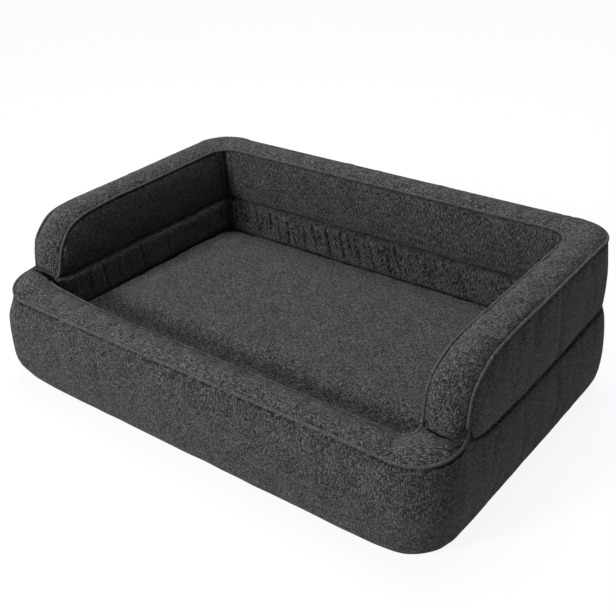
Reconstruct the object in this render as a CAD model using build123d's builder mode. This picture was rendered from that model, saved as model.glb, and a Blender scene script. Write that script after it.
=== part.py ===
from build123d import *
from math import cos, radians, sin
import os

# A bolstered dog bed: a sewn cover over foam, with a low front wall, a raised bolster
# on the other three sides, and a mattress that lifts out of the well.
# Frame: origin on the floor under the middle, X along the front, Y to the back, Z up.
# All lengths are in millimetres.

# The two piping lines, which set the shape of the whole cover
pipe_length = 890.0  # outer piping, left to right
pipe_depth = 606.0  # outer piping, front to back
wall_width = 59.0  # from the outer piping to the inner piping
front_height = 172.0  # piping over the front wall
bolster_height = 291.0  # piping over the bolster
bolster_foot = 85.0  # from the front piping back to the bolster's front face
front_corner_radius = 75.0
back_corner_radius = 60.0
inner_front_radius = 20.0
inner_back_radius = 40.0
bolster_round_share = 0.74  # rounding of the bolster's top front edge, of its climb
foot_round_radius = 6.0  # where the piping turns up at the bolster's foot
pipe_diameter = 5.0
pipe_sides = 8

# Clearances
seat_gap = 0.3  # between sewn or seated pieces
mattress_gap = 1.0  # round the mattress as it is lifted past the bolster
overrun = 20.0  # how far a cut runs past what it cuts

# Padded bands on top of the walls
band_crown = 9.0
band_base_depth = 4.0
arc_steps = 10  # stations along each quarter turn
quarter_turn = 90  # degrees

# Cover panels
cloth_thickness = 4.0
base_bulge = 10.0  # the lower wall's bulge past the piping
base_bulge_height = 90.0
seam_drop = 12.0  # from the front piping down to the side seam
seam_out = 3.0  # the seam's place past the piping
bottom_turn_height = 32.0  # top of the rounded lower edge
bottom_turn_out = 5.0
bottom_turn_mid_height = 14.0
bottom_turn_mid_in = 4.0
bottom_seam_in = 16.0  # the bottom seam's place inside the piping
bottom_thickness = 3.0
outer_panel_bulge = 5.0
inner_panel_bulge = 7.0
crease_rise = 11.0  # from the front piping up to the crease inside the bolster
floor_thickness = 3.0

# Gathers in the well's border, as grooves between puffed strips
gather_rise = 3.0
gather_depth = 4.0
gather_pitch = 23.0
gather_sides = 4
back_gather_lean_share = 0.22  # sideways run of the back's gathers, of their height

# Foam
foam_chamfer = 20.0

# Mattress
mattress_height = 101.0  # from its underside to the top seam
mattress_crown = 18.0
mattress_corner_radius = 33.0
mattress_border_thickness = 9.5
mattress_cloth_thickness = 3.0
mattress_draw_in = 3.0  # how far the border is drawn in at its seams
comfort_foam_thickness = 32.0
crown_rise_shares = (0.0, 0.32, 0.62, 0.90, 1.0)
crown_inset_shares = (0.0, 0.02, 0.10, 0.40, 0.70)

# Zips
cover_zip_length = 600.0
cover_zip_height = 60.0
cover_zip_out = 3.0  # the tape's underside, past the piping
mattress_zip_length = 520.0
mattress_zip_height = 45.0
zip_pocket_depth = 6.0
zip_groove_depth = 1.5
zip_groove_width = 9.0
zip_pocket_margin = 4.0
tape_width = 10.0
tape_thickness = 0.6
coil_width = 2.0
coil_height = 1.4
coil_split = 1.8  # between the two coils
coil_edge_radius = 0.5
stop_length = 3.0
slider_length = 9.0
slider_width = 7.6
slider_tail_width = 6.6
plate_thickness = 0.9
post_length = 2.4
post_width = 1.2
flange_width = 0.8
bridge_length = 7.0
bridge_width = 1.4
bridge_bar = 0.9
pull_length = 21.0
pull_width = 5.6
pull_thickness = 1.0
pull_window_length = 6.0
pull_window_width = 2.6
pull_hole_radius = 1.0
running_gap = 0.3

# Worked out from the sizes above
pipe_radius = pipe_diameter / 2
half_x = pipe_length / 2
half_y = pipe_depth / 2
inner_x = half_x - wall_width
inner_y = half_y - wall_width
foot_y = bolster_foot - half_y
seam_height = front_height - seam_drop
crease_height = front_height + crease_rise
bolster_round_radius = (bolster_height - front_height) * bolster_round_share
band_inset = pipe_radius + seat_gap
band_outer_x = half_x - band_inset
band_inner_x = inner_x + band_inset
station_sag = bolster_round_radius * (1 - cos(radians(quarter_turn / arc_steps / 2)))
panel_inset = band_base_depth + seat_gap + station_sag
front_panel_top = front_height - panel_inset
fill_bottom = front_panel_top + seat_gap
foam_bottom = bottom_thickness + seat_gap
floor_top = foam_bottom + floor_thickness
well_bottom = floor_top + seat_gap
mattress_bottom = well_bottom
mattress_seam = mattress_bottom + mattress_height
mattress_half_x = inner_x - inner_panel_bulge - mattress_gap
mattress_half_y = inner_y - inner_panel_bulge - mattress_gap
cloth_face = cloth_thickness + seat_gap

parts_folder = "parts"
up = Vector(0, 0, 1)
quarter = [quarter_turn * step / arc_steps for step in range(arc_steps + 1)]


def save(piece, name):
    piece.label = name
    export_step(piece, os.path.join(parts_folder, name + ".step"))


def outer_loop(inset):
    """Draws the outer piping's plan, drawn in by inset, in the open sketch."""
    with BuildLine() as plan:
        FilletPolyline(
            (0, inset - half_y),
            (half_x - inset, inset - half_y),
            (half_x - inset, half_y - inset),
            (0, half_y - inset),
            radius=(front_corner_radius - inset, back_corner_radius - inset),
        )
        mirror(about=Plane.YZ)
    make_face(plan.edges())


def inner_loop(outset, mode=Mode.ADD):
    """Draws the inner piping's plan, moved into the wall by outset, in the open sketch."""
    with BuildLine() as plan:
        FilletPolyline(
            (0, -inner_y - outset),
            (inner_x + outset, -inner_y - outset),
            (inner_x + outset, inner_y + outset),
            (0, inner_y + outset),
            radius=(inner_front_radius + outset, inner_back_radius + outset),
        )
        mirror(about=Plane.YZ)
    make_face(plan.edges(), mode=mode)


def wall_ring(section, reach_x, reach_y, front_radius, back_radius):
    """Carries a wall section round a plan loop: straight runs, with turned corners."""
    side_run = reach_y * 2 - front_radius - back_radius
    runs = (
        (Vector(0, -reach_y, 0), Vector(0, -1, 0), reach_x - front_radius, front_radius),
        (Vector(reach_x, front_radius - reach_y, 0), Vector(1, 0, 0), side_run, back_radius),
        (Vector(reach_x - back_radius, reach_y, 0), Vector(0, 1, 0), reach_x - back_radius, 0),
    )
    with BuildPart() as ring:
        for start, outward, run, radius in runs:
            along = up.cross(outward)
            with BuildSketch(Plane(origin=start, x_dir=outward, z_dir=-along)):
                add(section)
            extrude(amount=-run)
            if radius > 0:
                end = start + along * run
                with BuildSketch(Plane(origin=end, x_dir=outward, z_dir=-along)):
                    add(section)
                revolve(axis=Axis(end - outward * radius, up), revolution_arc=quarter_turn)
        mirror(about=Plane.YZ)
    return ring.part


def bolster_side(inset, low):
    """Draws the bolster's side view, drawn in by inset, in the open sketch of plane YZ."""
    with BuildLine() as side_view:
        FilletPolyline(
            (foot_y + inset, low),
            (foot_y + inset, bolster_height - inset),
            (half_y + overrun, bolster_height - inset),
            radius=bolster_round_radius - inset,
        )
        Polyline(
            (half_y + overrun, bolster_height - inset),
            (half_y + overrun, low),
            (foot_y + inset, low),
        )
    make_face(side_view.edges())


def band_station(inner_point, outer_point, rise):
    """One cross-section of a crowned band between the two piping lines."""
    across = outer_point - inner_point
    half_width = across.length / 2
    middle = (inner_point + outer_point) / 2
    with BuildSketch(Plane(origin=middle, x_dir=across, z_dir=across.cross(rise))) as section:
        with BuildLine():
            ThreePointArc((-half_width, 0), (0, band_crown), (half_width, 0))
            Polyline(
                (half_width, 0),
                (half_width, -band_base_depth),
                (-half_width, -band_base_depth),
                (-half_width, 0),
            )
        make_face()
    return section.sketch


def corner_stations(outer_radius, inner_radius, side, height, angles):
    """Stations of a band round one plan corner; side is -1 in front and 1 behind."""
    outer_centre = Vector(half_x - outer_radius, side * (half_y - outer_radius), height)
    inner_centre = Vector(inner_x - inner_radius, side * (inner_y - inner_radius), height)
    turns = [Vector(cos(radians(angle)), side * sin(radians(angle)), 0) for angle in angles]
    return [
        band_station(
            inner_centre + turn * (inner_radius + band_inset),
            outer_centre + turn * (outer_radius - band_inset),
            up,
        )
        for turn in turns
    ]


def back_plane(face_y, height):
    """A plane facing the back, its own X along the zip and its own Y up."""
    return Plane(origin=(0, face_y, height), x_dir=(-1, 0, 0), z_dir=(0, 1, 0))


mattress_zip_face = mattress_half_y - zip_pocket_depth
cover_zip_plane = back_plane(half_y + cover_zip_out, cover_zip_height)
mattress_zip_plane = back_plane(mattress_zip_face, mattress_zip_height)
tape_span = coil_split + tape_width * 2


def zip_pocket(place, length):
    """The space cut for a zip, with the groove for the slider's under plate."""
    with BuildPart() as pocket:
        with BuildSketch(place):
            SlotOverall(length + tape_span + zip_pocket_margin * 2, tape_span + zip_pocket_margin)
        extrude(amount=zip_pocket_depth + overrun)
        with BuildSketch(place):
            Rectangle(length, zip_groove_width)
        extrude(amount=-zip_groove_depth)
    return pocket.part


# Bottom panel, which stands on the floor
with BuildPart() as bottom_panel:
    with BuildSketch():
        outer_loop(bottom_seam_in)
    extrude(amount=bottom_thickness)

# Lower outer wall: bulged outside, flat against the foam inside
with BuildSketch() as lower_section:
    with BuildLine():
        Polyline(
            (0, front_panel_top),
            (-cloth_thickness, front_panel_top),
            (-cloth_thickness, foam_bottom + foam_chamfer),
            (-cloth_thickness - foam_chamfer, foam_bottom),
            (-bottom_seam_in, foam_bottom),
        )
        ThreePointArc(
            (-bottom_seam_in, foam_bottom),
            (-bottom_turn_mid_in, bottom_turn_mid_height),
            (bottom_turn_out, bottom_turn_height),
        )
        ThreePointArc(
            (bottom_turn_out, bottom_turn_height),
            (base_bulge, base_bulge_height),
            (seam_out, seam_height),
        )
        Line((seam_out, seam_height), (0, front_panel_top))
    make_face()

with BuildPart() as base_border:
    add(wall_ring(lower_section.sketch, half_x, half_y, front_corner_radius, back_corner_radius))
    with BuildSketch(Plane.XY.offset(seam_height)):
        with Locations((0, foot_y)):
            Rectangle(
                pipe_length + overrun * 2, pipe_depth + overrun, align=(Align.CENTER, Align.MIN)
            )
    extrude(amount=overrun, mode=Mode.SUBTRACT)
    add(zip_pocket(cover_zip_plane, cover_zip_length), mode=Mode.SUBTRACT)

# Padded band over the front wall and its two short returns
front_stations = [
    band_station(
        Vector(0, -inner_y - band_inset, front_height),
        Vector(0, band_inset - half_y, front_height),
        up,
    )
]
front_stations += corner_stations(
    front_corner_radius, inner_front_radius, -1, front_height, quarter[::-1]
)
front_stations.append(
    band_station(
        Vector(band_inner_x, foot_y, front_height),
        Vector(band_outer_x, foot_y, front_height),
        up,
    )
)
with BuildPart() as front_top_band:
    loft(sections=front_stations, ruled=True)
    mirror(about=Plane.YZ)

# Padded band that climbs the bolster's front end, runs back, and turns along the back
band_foot = front_height + band_crown + seat_gap
bolster_stations = [
    band_station(
        Vector(band_inner_x, foot_y, band_foot),
        Vector(band_outer_x, foot_y, band_foot),
        Vector(0, -1, 0),
    )
]
for angle in quarter:
    rise = Vector(0, -cos(radians(angle)), sin(radians(angle)))
    climb = Vector(0, foot_y + bolster_round_radius, bolster_height - bolster_round_radius)
    climb += rise * bolster_round_radius
    bolster_stations.append(
        band_station(climb + Vector(band_inner_x, 0, 0), climb + Vector(band_outer_x, 0, 0), rise)
    )
bolster_stations += corner_stations(
    back_corner_radius, inner_back_radius, 1, bolster_height, quarter
)
bolster_stations.append(
    band_station(
        Vector(0, inner_y + band_inset, bolster_height),
        Vector(0, half_y - band_inset, bolster_height),
        up,
    )
)
with BuildPart() as bolster_top_band:
    loft(sections=bolster_stations, ruled=True)
    mirror(about=Plane.YZ)

# Outer face of the bolster, above the side seam
with BuildSketch() as outer_section:
    with BuildLine():
        Polyline(
            (0, bolster_height),
            (-cloth_thickness, bolster_height),
            (-cloth_thickness, seam_height + seat_gap),
            (seam_out, seam_height + seat_gap),
        )
        ThreePointArc(
            (seam_out, seam_height + seat_gap),
            (outer_panel_bulge, (seam_height + bolster_height) / 2),
            (0, bolster_height),
        )
    make_face()

with BuildPart() as bolster_outer_panel:
    add(wall_ring(outer_section.sketch, half_x, half_y, front_corner_radius, back_corner_radius))
    with BuildSketch(Plane.YZ):
        bolster_side(panel_inset, seam_height)
    extrude(amount=half_x + overrun, both=True, mode=Mode.INTERSECT)

# Inner face of the bolster, above the crease
with BuildSketch() as inner_section:
    with BuildLine():
        Polyline(
            (0, bolster_height),
            (cloth_thickness, bolster_height),
            (cloth_thickness, crease_height + seat_gap),
            (0, crease_height + seat_gap),
        )
        ThreePointArc(
            (0, crease_height + seat_gap),
            (-inner_panel_bulge, (crease_height + bolster_height) / 2),
            (0, bolster_height),
        )
    make_face()

with BuildPart() as bolster_inner_panel:
    add(wall_ring(inner_section.sketch, inner_x, inner_y, inner_front_radius, inner_back_radius))
    with BuildSketch(Plane.YZ):
        bolster_side(panel_inset, crease_height)
    extrude(amount=half_x + overrun, both=True, mode=Mode.INTERSECT)

# Gathered border round the mattress well: upright gathers at the sides, leaning ones behind
border_height = crease_height - well_bottom
gather_line_x = inner_x - gather_rise
gather_line_y = inner_y - gather_rise
back_gather_run = border_height * back_gather_lean_share
gather_span_x = (gather_line_x - inner_back_radius) * 2 - back_gather_run
gather_span_y = (gather_line_y - inner_back_radius) * 2
gathers_back = int(gather_span_x / gather_pitch)
gathers_side = int(gather_span_y / gather_pitch)
with BuildPart() as well_border:
    with BuildSketch(Plane.XY.offset(well_bottom)):
        inner_loop(cloth_thickness)
        inner_loop(-gather_rise, mode=Mode.SUBTRACT)
    extrude(amount=border_height)
    with BuildSketch(Plane.XY.offset(well_bottom)):
        with GridLocations(gather_line_x * 2, gather_pitch, 2, gathers_side):
            RegularPolygon(gather_depth, gather_sides)
    extrude(amount=border_height, mode=Mode.SUBTRACT)
    with BuildSketch(Plane.XY.offset(well_bottom)):
        with Locations((back_gather_run / 2, gather_line_y)):
            with GridLocations(gather_pitch, 0, gathers_back, 1):
                RegularPolygon(gather_depth, gather_sides)
    extrude(amount=border_height, dir=(-back_gather_lean_share, 0, 1), mode=Mode.SUBTRACT)
    with BuildSketch(Plane.XY.offset(front_panel_top)):
        with Locations((0, foot_y + panel_inset)):
            Rectangle(pipe_length, pipe_depth, align=(Align.CENTER, Align.MAX))
    extrude(amount=bolster_height, mode=Mode.SUBTRACT)

# Cloth floor of the well
with BuildPart() as well_floor:
    with BuildSketch(Plane.XY.offset(foam_bottom)):
        inner_loop(cloth_thickness)
    extrude(amount=floor_thickness)


def piping(corner_path):
    """A many-sided cord swept along half of a piping line and mirrored to the other half."""
    with BuildPart() as cord:
        with BuildSketch(Plane(origin=corner_path @ 0, z_dir=corner_path % 0)):
            RegularPolygon(pipe_radius, pipe_sides)
        sweep(path=corner_path)
        mirror(about=Plane.YZ)
    return cord.part


def piping_path(reach_x, reach_y, front_radius, back_radius):
    """The right half of a piping line, from the front's middle to the back's middle."""
    with BuildLine() as line:
        FilletPolyline(
            (0, -reach_y, front_height),
            (reach_x, -reach_y, front_height),
            (reach_x, foot_y, front_height),
            (reach_x, foot_y, bolster_height),
            (reach_x, reach_y, bolster_height),
            (0, reach_y, bolster_height),
            radius=(front_radius, foot_round_radius, bolster_round_radius, back_radius),
        )
    return line.line


outer_piping = piping(piping_path(half_x, half_y, front_corner_radius, back_corner_radius))
inner_piping = piping(piping_path(inner_x, inner_y, inner_front_radius, inner_back_radius))

# Foam of the lower wall and fill of the bolster, each as one block before it is divided
with BuildPart() as foam_block:
    with BuildSketch(Plane.XY.offset(foam_bottom)):
        outer_loop(cloth_face)
    extrude(amount=front_panel_top - foam_bottom)
    chamfer(foam_block.faces().sort_by(Axis.Z)[0].edges(), foam_chamfer)

with BuildPart() as fill_block:
    with BuildSketch(Plane.XY.offset(fill_bottom)):
        outer_loop(cloth_face)
    extrude(amount=bolster_height - fill_bottom)
    with BuildSketch(Plane.YZ):
        bolster_side(panel_inset, fill_bottom)
    extrude(amount=half_x, both=True, mode=Mode.INTERSECT)

core_x = inner_x + cloth_face
core_y = inner_y + cloth_face


def end_piece(block, side):
    """What lies in front of the well (side -1) or behind it (side 1), full length."""
    with BuildPart() as piece:
        add(block)
        with BuildSketch():
            with Locations((0, side * core_y)):
                beyond = Align.MIN if side > 0 else Align.MAX
                Rectangle(pipe_length, pipe_depth, align=(Align.CENTER, beyond))
        extrude(amount=bolster_height, mode=Mode.INTERSECT)
    return piece.part


def side_piece(block, side):
    """What lies left of the well (side -1) or right of it (side 1), between the ends."""
    with BuildPart() as piece:
        add(block)
        with BuildSketch():
            with Locations((side * core_x, 0)):
                beyond = Align.MIN if side > 0 else Align.MAX
                Rectangle(pipe_length, (core_y - seat_gap) * 2, align=(beyond, Align.CENTER))
        extrude(amount=bolster_height, mode=Mode.INTERSECT)
    return piece.part


front_wall_foam = end_piece(foam_block.part, -1)
back_wall_foam = end_piece(foam_block.part, 1)
left_wall_foam = side_piece(foam_block.part, -1)
right_wall_foam = side_piece(foam_block.part, 1)
back_bolster_fill = end_piece(fill_block.part, 1)
left_bolster_fill = side_piece(fill_block.part, -1)
right_bolster_fill = side_piece(fill_block.part, 1)


def mattress_outline(inset):
    """Draws the mattress's plan, drawn in by inset, in the open sketch."""
    RectangleRounded(
        (mattress_half_x - inset) * 2, (mattress_half_y - inset) * 2, mattress_corner_radius
    )


core_inset = mattress_draw_in + mattress_border_thickness + seat_gap
core_bottom = mattress_bottom + mattress_cloth_thickness + seat_gap
comfort_bottom = mattress_seam - seat_gap - comfort_foam_thickness

# Crowned top of the mattress cover
with BuildPart() as mattress_top_panel:
    for rise_share, inset_share in zip(crown_rise_shares, crown_inset_shares):
        with BuildSketch(Plane.XY.offset(mattress_seam + mattress_crown * rise_share)):
            mattress_outline(mattress_draw_in + (mattress_half_y - mattress_draw_in) * inset_share)
    loft(ruled=True)

with BuildPart() as mattress_bottom_panel:
    with BuildSketch(Plane.XY.offset(mattress_bottom)):
        mattress_outline(mattress_draw_in)
    extrude(amount=mattress_cloth_thickness)

with BuildPart() as mattress_support_foam:
    with BuildSketch(Plane.XY.offset(core_bottom)):
        mattress_outline(core_inset)
    extrude(amount=comfort_bottom - seat_gap - core_bottom)

with BuildPart() as mattress_comfort_foam:
    with BuildSketch(Plane.XY.offset(comfort_bottom)):
        mattress_outline(core_inset)
    extrude(amount=comfort_foam_thickness)

# Padded border of the mattress cover, drawn in at its two seams
border_bottom = mattress_bottom + mattress_cloth_thickness + seat_gap
border_top = mattress_seam - seat_gap
with BuildPart() as mattress_border:
    for height, inset in (
        (border_bottom, mattress_draw_in),
        (mattress_zip_height - tape_width - zip_pocket_margin, 0),
        (mattress_seam - tape_width, 0),
        (border_top, mattress_draw_in),
    ):
        with BuildSketch(Plane.XY.offset(height)):
            mattress_outline(inset)
    loft(ruled=True)
    with BuildSketch(Plane.XY.offset(border_bottom)):
        mattress_outline(core_inset - seat_gap)
    extrude(amount=mattress_height, mode=Mode.SUBTRACT)
    add(zip_pocket(mattress_zip_plane, mattress_zip_length), mode=Mode.SUBTRACT)


coil_top = tape_thickness + coil_height
top_plate_bottom = coil_top + running_gap
top_plate_top = top_plate_bottom + plate_thickness
pull_axis_height = top_plate_top + pull_thickness / 2 + running_gap
bridge_inside = pull_axis_height + pull_thickness / 2 + running_gap
slider_start = slider_length / 2 + stop_length + running_gap


def zip_tapes(place, length):
    """The two woven tapes, side by side."""
    with BuildPart() as tapes:
        with BuildSketch(place):
            with GridLocations(0, coil_split + tape_width, 1, 2):
                Rectangle(length + tape_width, tape_width)
        extrude(amount=tape_thickness)
    return tapes.part


def zip_coils(place, length):
    """The two coils, rounded along their tops."""
    with BuildPart() as coils:
        with BuildSketch(place.offset(tape_thickness)):
            with GridLocations(0, coil_split + coil_width, 1, 2):
                Rectangle(length - stop_length * 2, coil_width)
        extrude(amount=coil_height)
        tops = coils.faces().sort_by(Axis.Y)[-2:]
        fillet(tops.edges().filter_by(Axis.X), coil_edge_radius)
    return coils.part


def zip_stops(place, length):
    """A stop across both coils at each end."""
    with BuildPart() as stops:
        with BuildSketch(place.offset(tape_thickness)):
            with GridLocations(length - stop_length + seat_gap * 2, 0, 2, 1):
                Rectangle(stop_length, coil_split + coil_width * 2)
        extrude(amount=coil_height)
    return stops.part


def slider_plate():
    """Draws a slider plate, wide at its nose and narrower at its tail, in the open sketch."""
    with BuildLine() as plate:
        Polyline(
            (-slider_length / 2, -slider_tail_width / 2),
            (0, -slider_width / 2),
            (slider_length / 2, -slider_width / 2),
            (slider_length / 2, slider_width / 2),
            (0, slider_width / 2),
            (-slider_length / 2, slider_tail_width / 2),
            (-slider_length / 2, -slider_tail_width / 2),
        )
    make_face(plate.edges())


def zip_slider(place, start):
    """Two plates joined by a post between the coils, with rails and the pull's bridge."""
    here = place.shift_origin(place.origin + place.x_dir * start)
    side = Plane(origin=here.origin, x_dir=here.x_dir, z_dir=-here.y_dir)
    with BuildPart() as slider:
        with BuildSketch(here.offset(top_plate_bottom)):
            slider_plate()
        extrude(amount=plate_thickness)
        with BuildSketch(here.offset(-running_gap)):
            slider_plate()
        extrude(amount=-plate_thickness)
        with BuildSketch(here.offset(-running_gap)):
            with Locations((slider_length / 2 - post_length / 2, 0)):
                Rectangle(post_length, post_width)
        extrude(amount=top_plate_bottom + running_gap)
        with BuildSketch(here.offset(tape_thickness + running_gap)):
            with Locations((slider_length / 4, 0)):
                with GridLocations(0, slider_width - flange_width, 1, 2):
                    Rectangle(slider_length / 2, flange_width)
        extrude(amount=top_plate_bottom - tape_thickness - running_gap)
        with BuildSketch(side):
            with Locations((0, top_plate_top)):
                Rectangle(
                    bridge_length,
                    bridge_inside + bridge_bar - top_plate_top,
                    align=(Align.CENTER, Align.MIN),
                )
                Rectangle(
                    bridge_length - bridge_bar * 2,
                    bridge_inside - top_plate_top,
                    align=(Align.CENTER, Align.MIN),
                    mode=Mode.SUBTRACT,
                )
        extrude(amount=bridge_width / 2, both=True)
        arch_ends = slider.edges().filter_by(Axis.Z).sort_by(Axis.Y)[-2:]
        fillet(arch_ends, bridge_bar)
    return slider.part


def zip_pull(place, start):
    """The pull tab: a flat bar with a window round the bridge and a hole at its far end."""
    here = place.shift_origin(place.origin + place.x_dir * start)
    with BuildPart() as pull:
        with BuildSketch(here.offset(pull_axis_height - pull_thickness / 2)):
            with Locations((pull_length / 2 - pull_thickness / 2, 0)):
                RectangleRounded(pull_length, pull_width, pull_width / 2 - pull_hole_radius)
            with Locations((pull_thickness / 2 + pull_window_length / 2, 0)):
                Rectangle(pull_window_length, pull_window_width, mode=Mode.SUBTRACT)
            with Locations((pull_length - pull_width / 2 - pull_thickness / 2, 0)):
                Circle(pull_hole_radius, mode=Mode.SUBTRACT)
        extrude(amount=pull_thickness)
    return pull.part


os.makedirs(parts_folder, exist_ok=True)

for zip_name, zip_plane, zip_length in (
    ("cover_zip", cover_zip_plane, cover_zip_length),
    ("mattress_zip", mattress_zip_plane, mattress_zip_length),
):
    start = slider_start - zip_length / 2
    save(zip_tapes(zip_plane, zip_length), zip_name + "_tapes")
    save(zip_coils(zip_plane, zip_length), zip_name + "_coils")
    save(zip_stops(zip_plane, zip_length), zip_name + "_stops")
    save(zip_slider(zip_plane, start), zip_name + "_slider")
    save(zip_pull(zip_plane, start), zip_name + "_pull")

save(bottom_panel.part, "bottom_panel")
save(base_border.part, "base_border")
save(front_top_band.part, "front_top_band")
save(bolster_top_band.part, "bolster_top_band")
save(bolster_outer_panel.part, "bolster_outer_panel")
save(bolster_inner_panel.part, "bolster_inner_panel")
save(well_border.part, "well_border")
save(well_floor.part, "well_floor")
save(outer_piping, "outer_piping")
save(inner_piping, "inner_piping")
save(front_wall_foam, "front_wall_foam")
save(back_wall_foam, "back_wall_foam")
save(left_wall_foam, "left_wall_foam")
save(right_wall_foam, "right_wall_foam")
save(left_bolster_fill, "left_bolster_fill")
save(right_bolster_fill, "right_bolster_fill")
save(back_bolster_fill, "back_bolster_fill")
save(mattress_top_panel.part, "mattress_top_panel")
save(mattress_border.part, "mattress_border")
save(mattress_bottom_panel.part, "mattress_bottom_panel")
save(mattress_comfort_foam.part, "mattress_comfort_foam")
save(mattress_support_foam.part, "mattress_support_foam")
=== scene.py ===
from math import cos, pi, radians, sin

import bmesh
import bpy
import numpy as np
from mathutils import Matrix, Vector, noise


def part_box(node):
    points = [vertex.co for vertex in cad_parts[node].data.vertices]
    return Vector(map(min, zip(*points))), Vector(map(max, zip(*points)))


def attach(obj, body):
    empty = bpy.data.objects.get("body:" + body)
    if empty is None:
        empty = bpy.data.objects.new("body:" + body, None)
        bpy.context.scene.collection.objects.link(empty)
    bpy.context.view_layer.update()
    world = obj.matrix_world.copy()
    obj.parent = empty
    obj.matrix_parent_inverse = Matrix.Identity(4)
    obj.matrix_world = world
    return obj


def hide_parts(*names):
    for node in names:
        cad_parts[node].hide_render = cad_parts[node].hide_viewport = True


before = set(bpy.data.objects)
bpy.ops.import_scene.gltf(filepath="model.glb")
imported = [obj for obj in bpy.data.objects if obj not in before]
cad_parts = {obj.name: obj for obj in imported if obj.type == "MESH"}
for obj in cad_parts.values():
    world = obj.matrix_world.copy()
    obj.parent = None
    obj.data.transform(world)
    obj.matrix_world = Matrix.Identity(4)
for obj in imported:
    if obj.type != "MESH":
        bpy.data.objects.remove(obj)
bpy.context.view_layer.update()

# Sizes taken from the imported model, in metres
pipeRadius = 0.0025
outerHigh = np.array(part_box("outer_piping")[1])
innerHigh = np.array(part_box("inner_piping")[1])
halfX, halfY = outerHigh[:2] - pipeRadius
innerX, innerY = innerHigh[:2] - pipeRadius
bolsterHeight = outerHigh[2] - pipeRadius
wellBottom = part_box("well_border")[0][2]
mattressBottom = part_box("mattress_bottom_panel")[0][2]
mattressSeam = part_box("mattress_top_panel")[0][2]
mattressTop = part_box("mattress_top_panel")[1][2]
riseEnd = -0.062  # y where the bolster has reached its full height
clothDepth = 0.004
pipeGroove = dict(depth=0.0085, width=0.0052, flat=0.72)  # the valley beside a piping
denseSteps = 400  # points of a smooth line before they are spread evenly

# The two piping loops in plan, and how many columns each stretch of half a loop gets
outerLoop = dict(reachX=halfX, reachY=halfY, front=0.060, back=0.067)
innerLoop = dict(reachX=innerX, reachY=innerY, front=0.024, back=0.042)
planSteps = dict(front=72, frontCorner=34, side=78, backCorner=26, back=110)
backStart = planSteps["front"] + planSteps["frontCorner"] + planSteps["side"]
riseSteps, runSteps = 50, 64  # columns up a bolster's end, and from there to the back corner


# Small maths

def ease(value, low, high):
    share = np.clip((value - low) / (high - low), 0, 1)
    return share * share * (3 - 2 * share)


def bump(value, middle, width):
    return np.exp(-(((value - middle) / width) ** 2))


def smoothLine(controls, count):
    # A Catmull-Rom line through the controls, with points spaced evenly along it
    controls = np.array(controls, float)
    ends = np.vstack([2 * controls[0] - controls[1], controls, 2 * controls[-1] - controls[-2]])
    dense = []
    for a, b, c, d in zip(ends[:-3], ends[1:-2], ends[2:-1], ends[3:]):
        for t in np.linspace(0, 1, 24, endpoint=False):
            bend = (2 * a - 5 * b + 4 * c - d) * t * t + (3 * b - a - 3 * c + d) * t ** 3
            dense.append(0.5 * (2 * b + (c - a) * t + bend))
    dense.append(ends[-2])
    return spaced(np.array(dense), count)


def heightAlong(controls, at):
    # Height read from a smooth line of (place, height) controls
    line = smoothLine(controls, 160)
    return np.interp(at, line[:, 0], line[:, 1])


def lengths(points):
    steps = np.linalg.norm(np.diff(points, axis=0), axis=1)
    return np.concatenate([[0], np.cumsum(steps)])


def spaced(points, count, closer=1.0):
    # Points spread evenly along a line, or closer together at its start where closer is above 1
    along = lengths(points)
    places = np.linspace(0, 1, count) ** closer * along[-1]
    return np.stack([np.interp(places, along, column) for column in points.T], axis=1)


def unit(vectors):
    return vectors / np.maximum(np.linalg.norm(vectors, axis=-1, keepdims=True), 1e-9)


def rough(points, size, seed=0.0):
    # Smooth noise from -1 to 1 at each point; size is the width of its swells in metres
    flat = np.asarray(points, float).reshape(-1, 3) / size + seed
    values = [noise.noise(Vector(point)) for point in flat]
    return np.array(values).reshape(np.shape(points)[:-1])


def rolled(distance, radius):
    # How far a cloth edge has turned in, as a share of radius, at a distance from its seam
    inside = np.clip(1 - distance / radius, 0, 1)
    return 1 - np.sqrt(1 - inside * inside)


seamRows = np.array([0, 0.0012, 0.0024, 0.0036, 0.0046, 0.0055, 0.0064, 0.0080])


def groove(distance, depth, width, flat=0.25):
    # The narrow valley in which a seam lies: full depth over its flat share, gone at its width
    return depth * (1 - ease(distance, flat * width, width))


def edgeRows(count, span=0.13):
    # Shares from 0 to 1, close together near both ends where the cloth dips into its seam
    near = seamRows / span
    middle = np.linspace(near[-1], 1 - near[-1], count)[1:-1]
    return np.concatenate([near, middle, 1 - near[::-1]])


def sideways(line):
    # Plan direction pointing away from the bed's middle, for a line that runs front to back
    step = np.gradient(line, axis=0)[:, :2]
    return unit(np.stack([step[:, 1], -step[:, 0]], axis=1))


def gridNormals(grid, closed, away):
    # Directions square to a sheet given as columns of points; away is a point they turn from
    if closed:
        along = np.roll(grid, -1, axis=0) - np.roll(grid, 1, axis=0)
    else:
        along = np.gradient(grid, axis=0)
    normals = unit(np.cross(along, np.gradient(grid, axis=1)))
    facing = np.sign(np.sum(normals * (grid - away), axis=-1).sum())
    return normals * (facing or 1)


def waved(grid, closed, away, size, seed, depth):
    # The same sheet with slow swells, square to its surface
    return grid + gridNormals(grid, closed, away) * (rough(grid, size, seed) * depth)[..., None]


def standing(plan, outward, out, heights):
    # Columns of an upright panel: plan points moved outward, each at its own height
    return np.concatenate([plan + outward[:, None] * out[..., None], heights[..., None]], axis=-1)


# Plan of a piping loop

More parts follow.
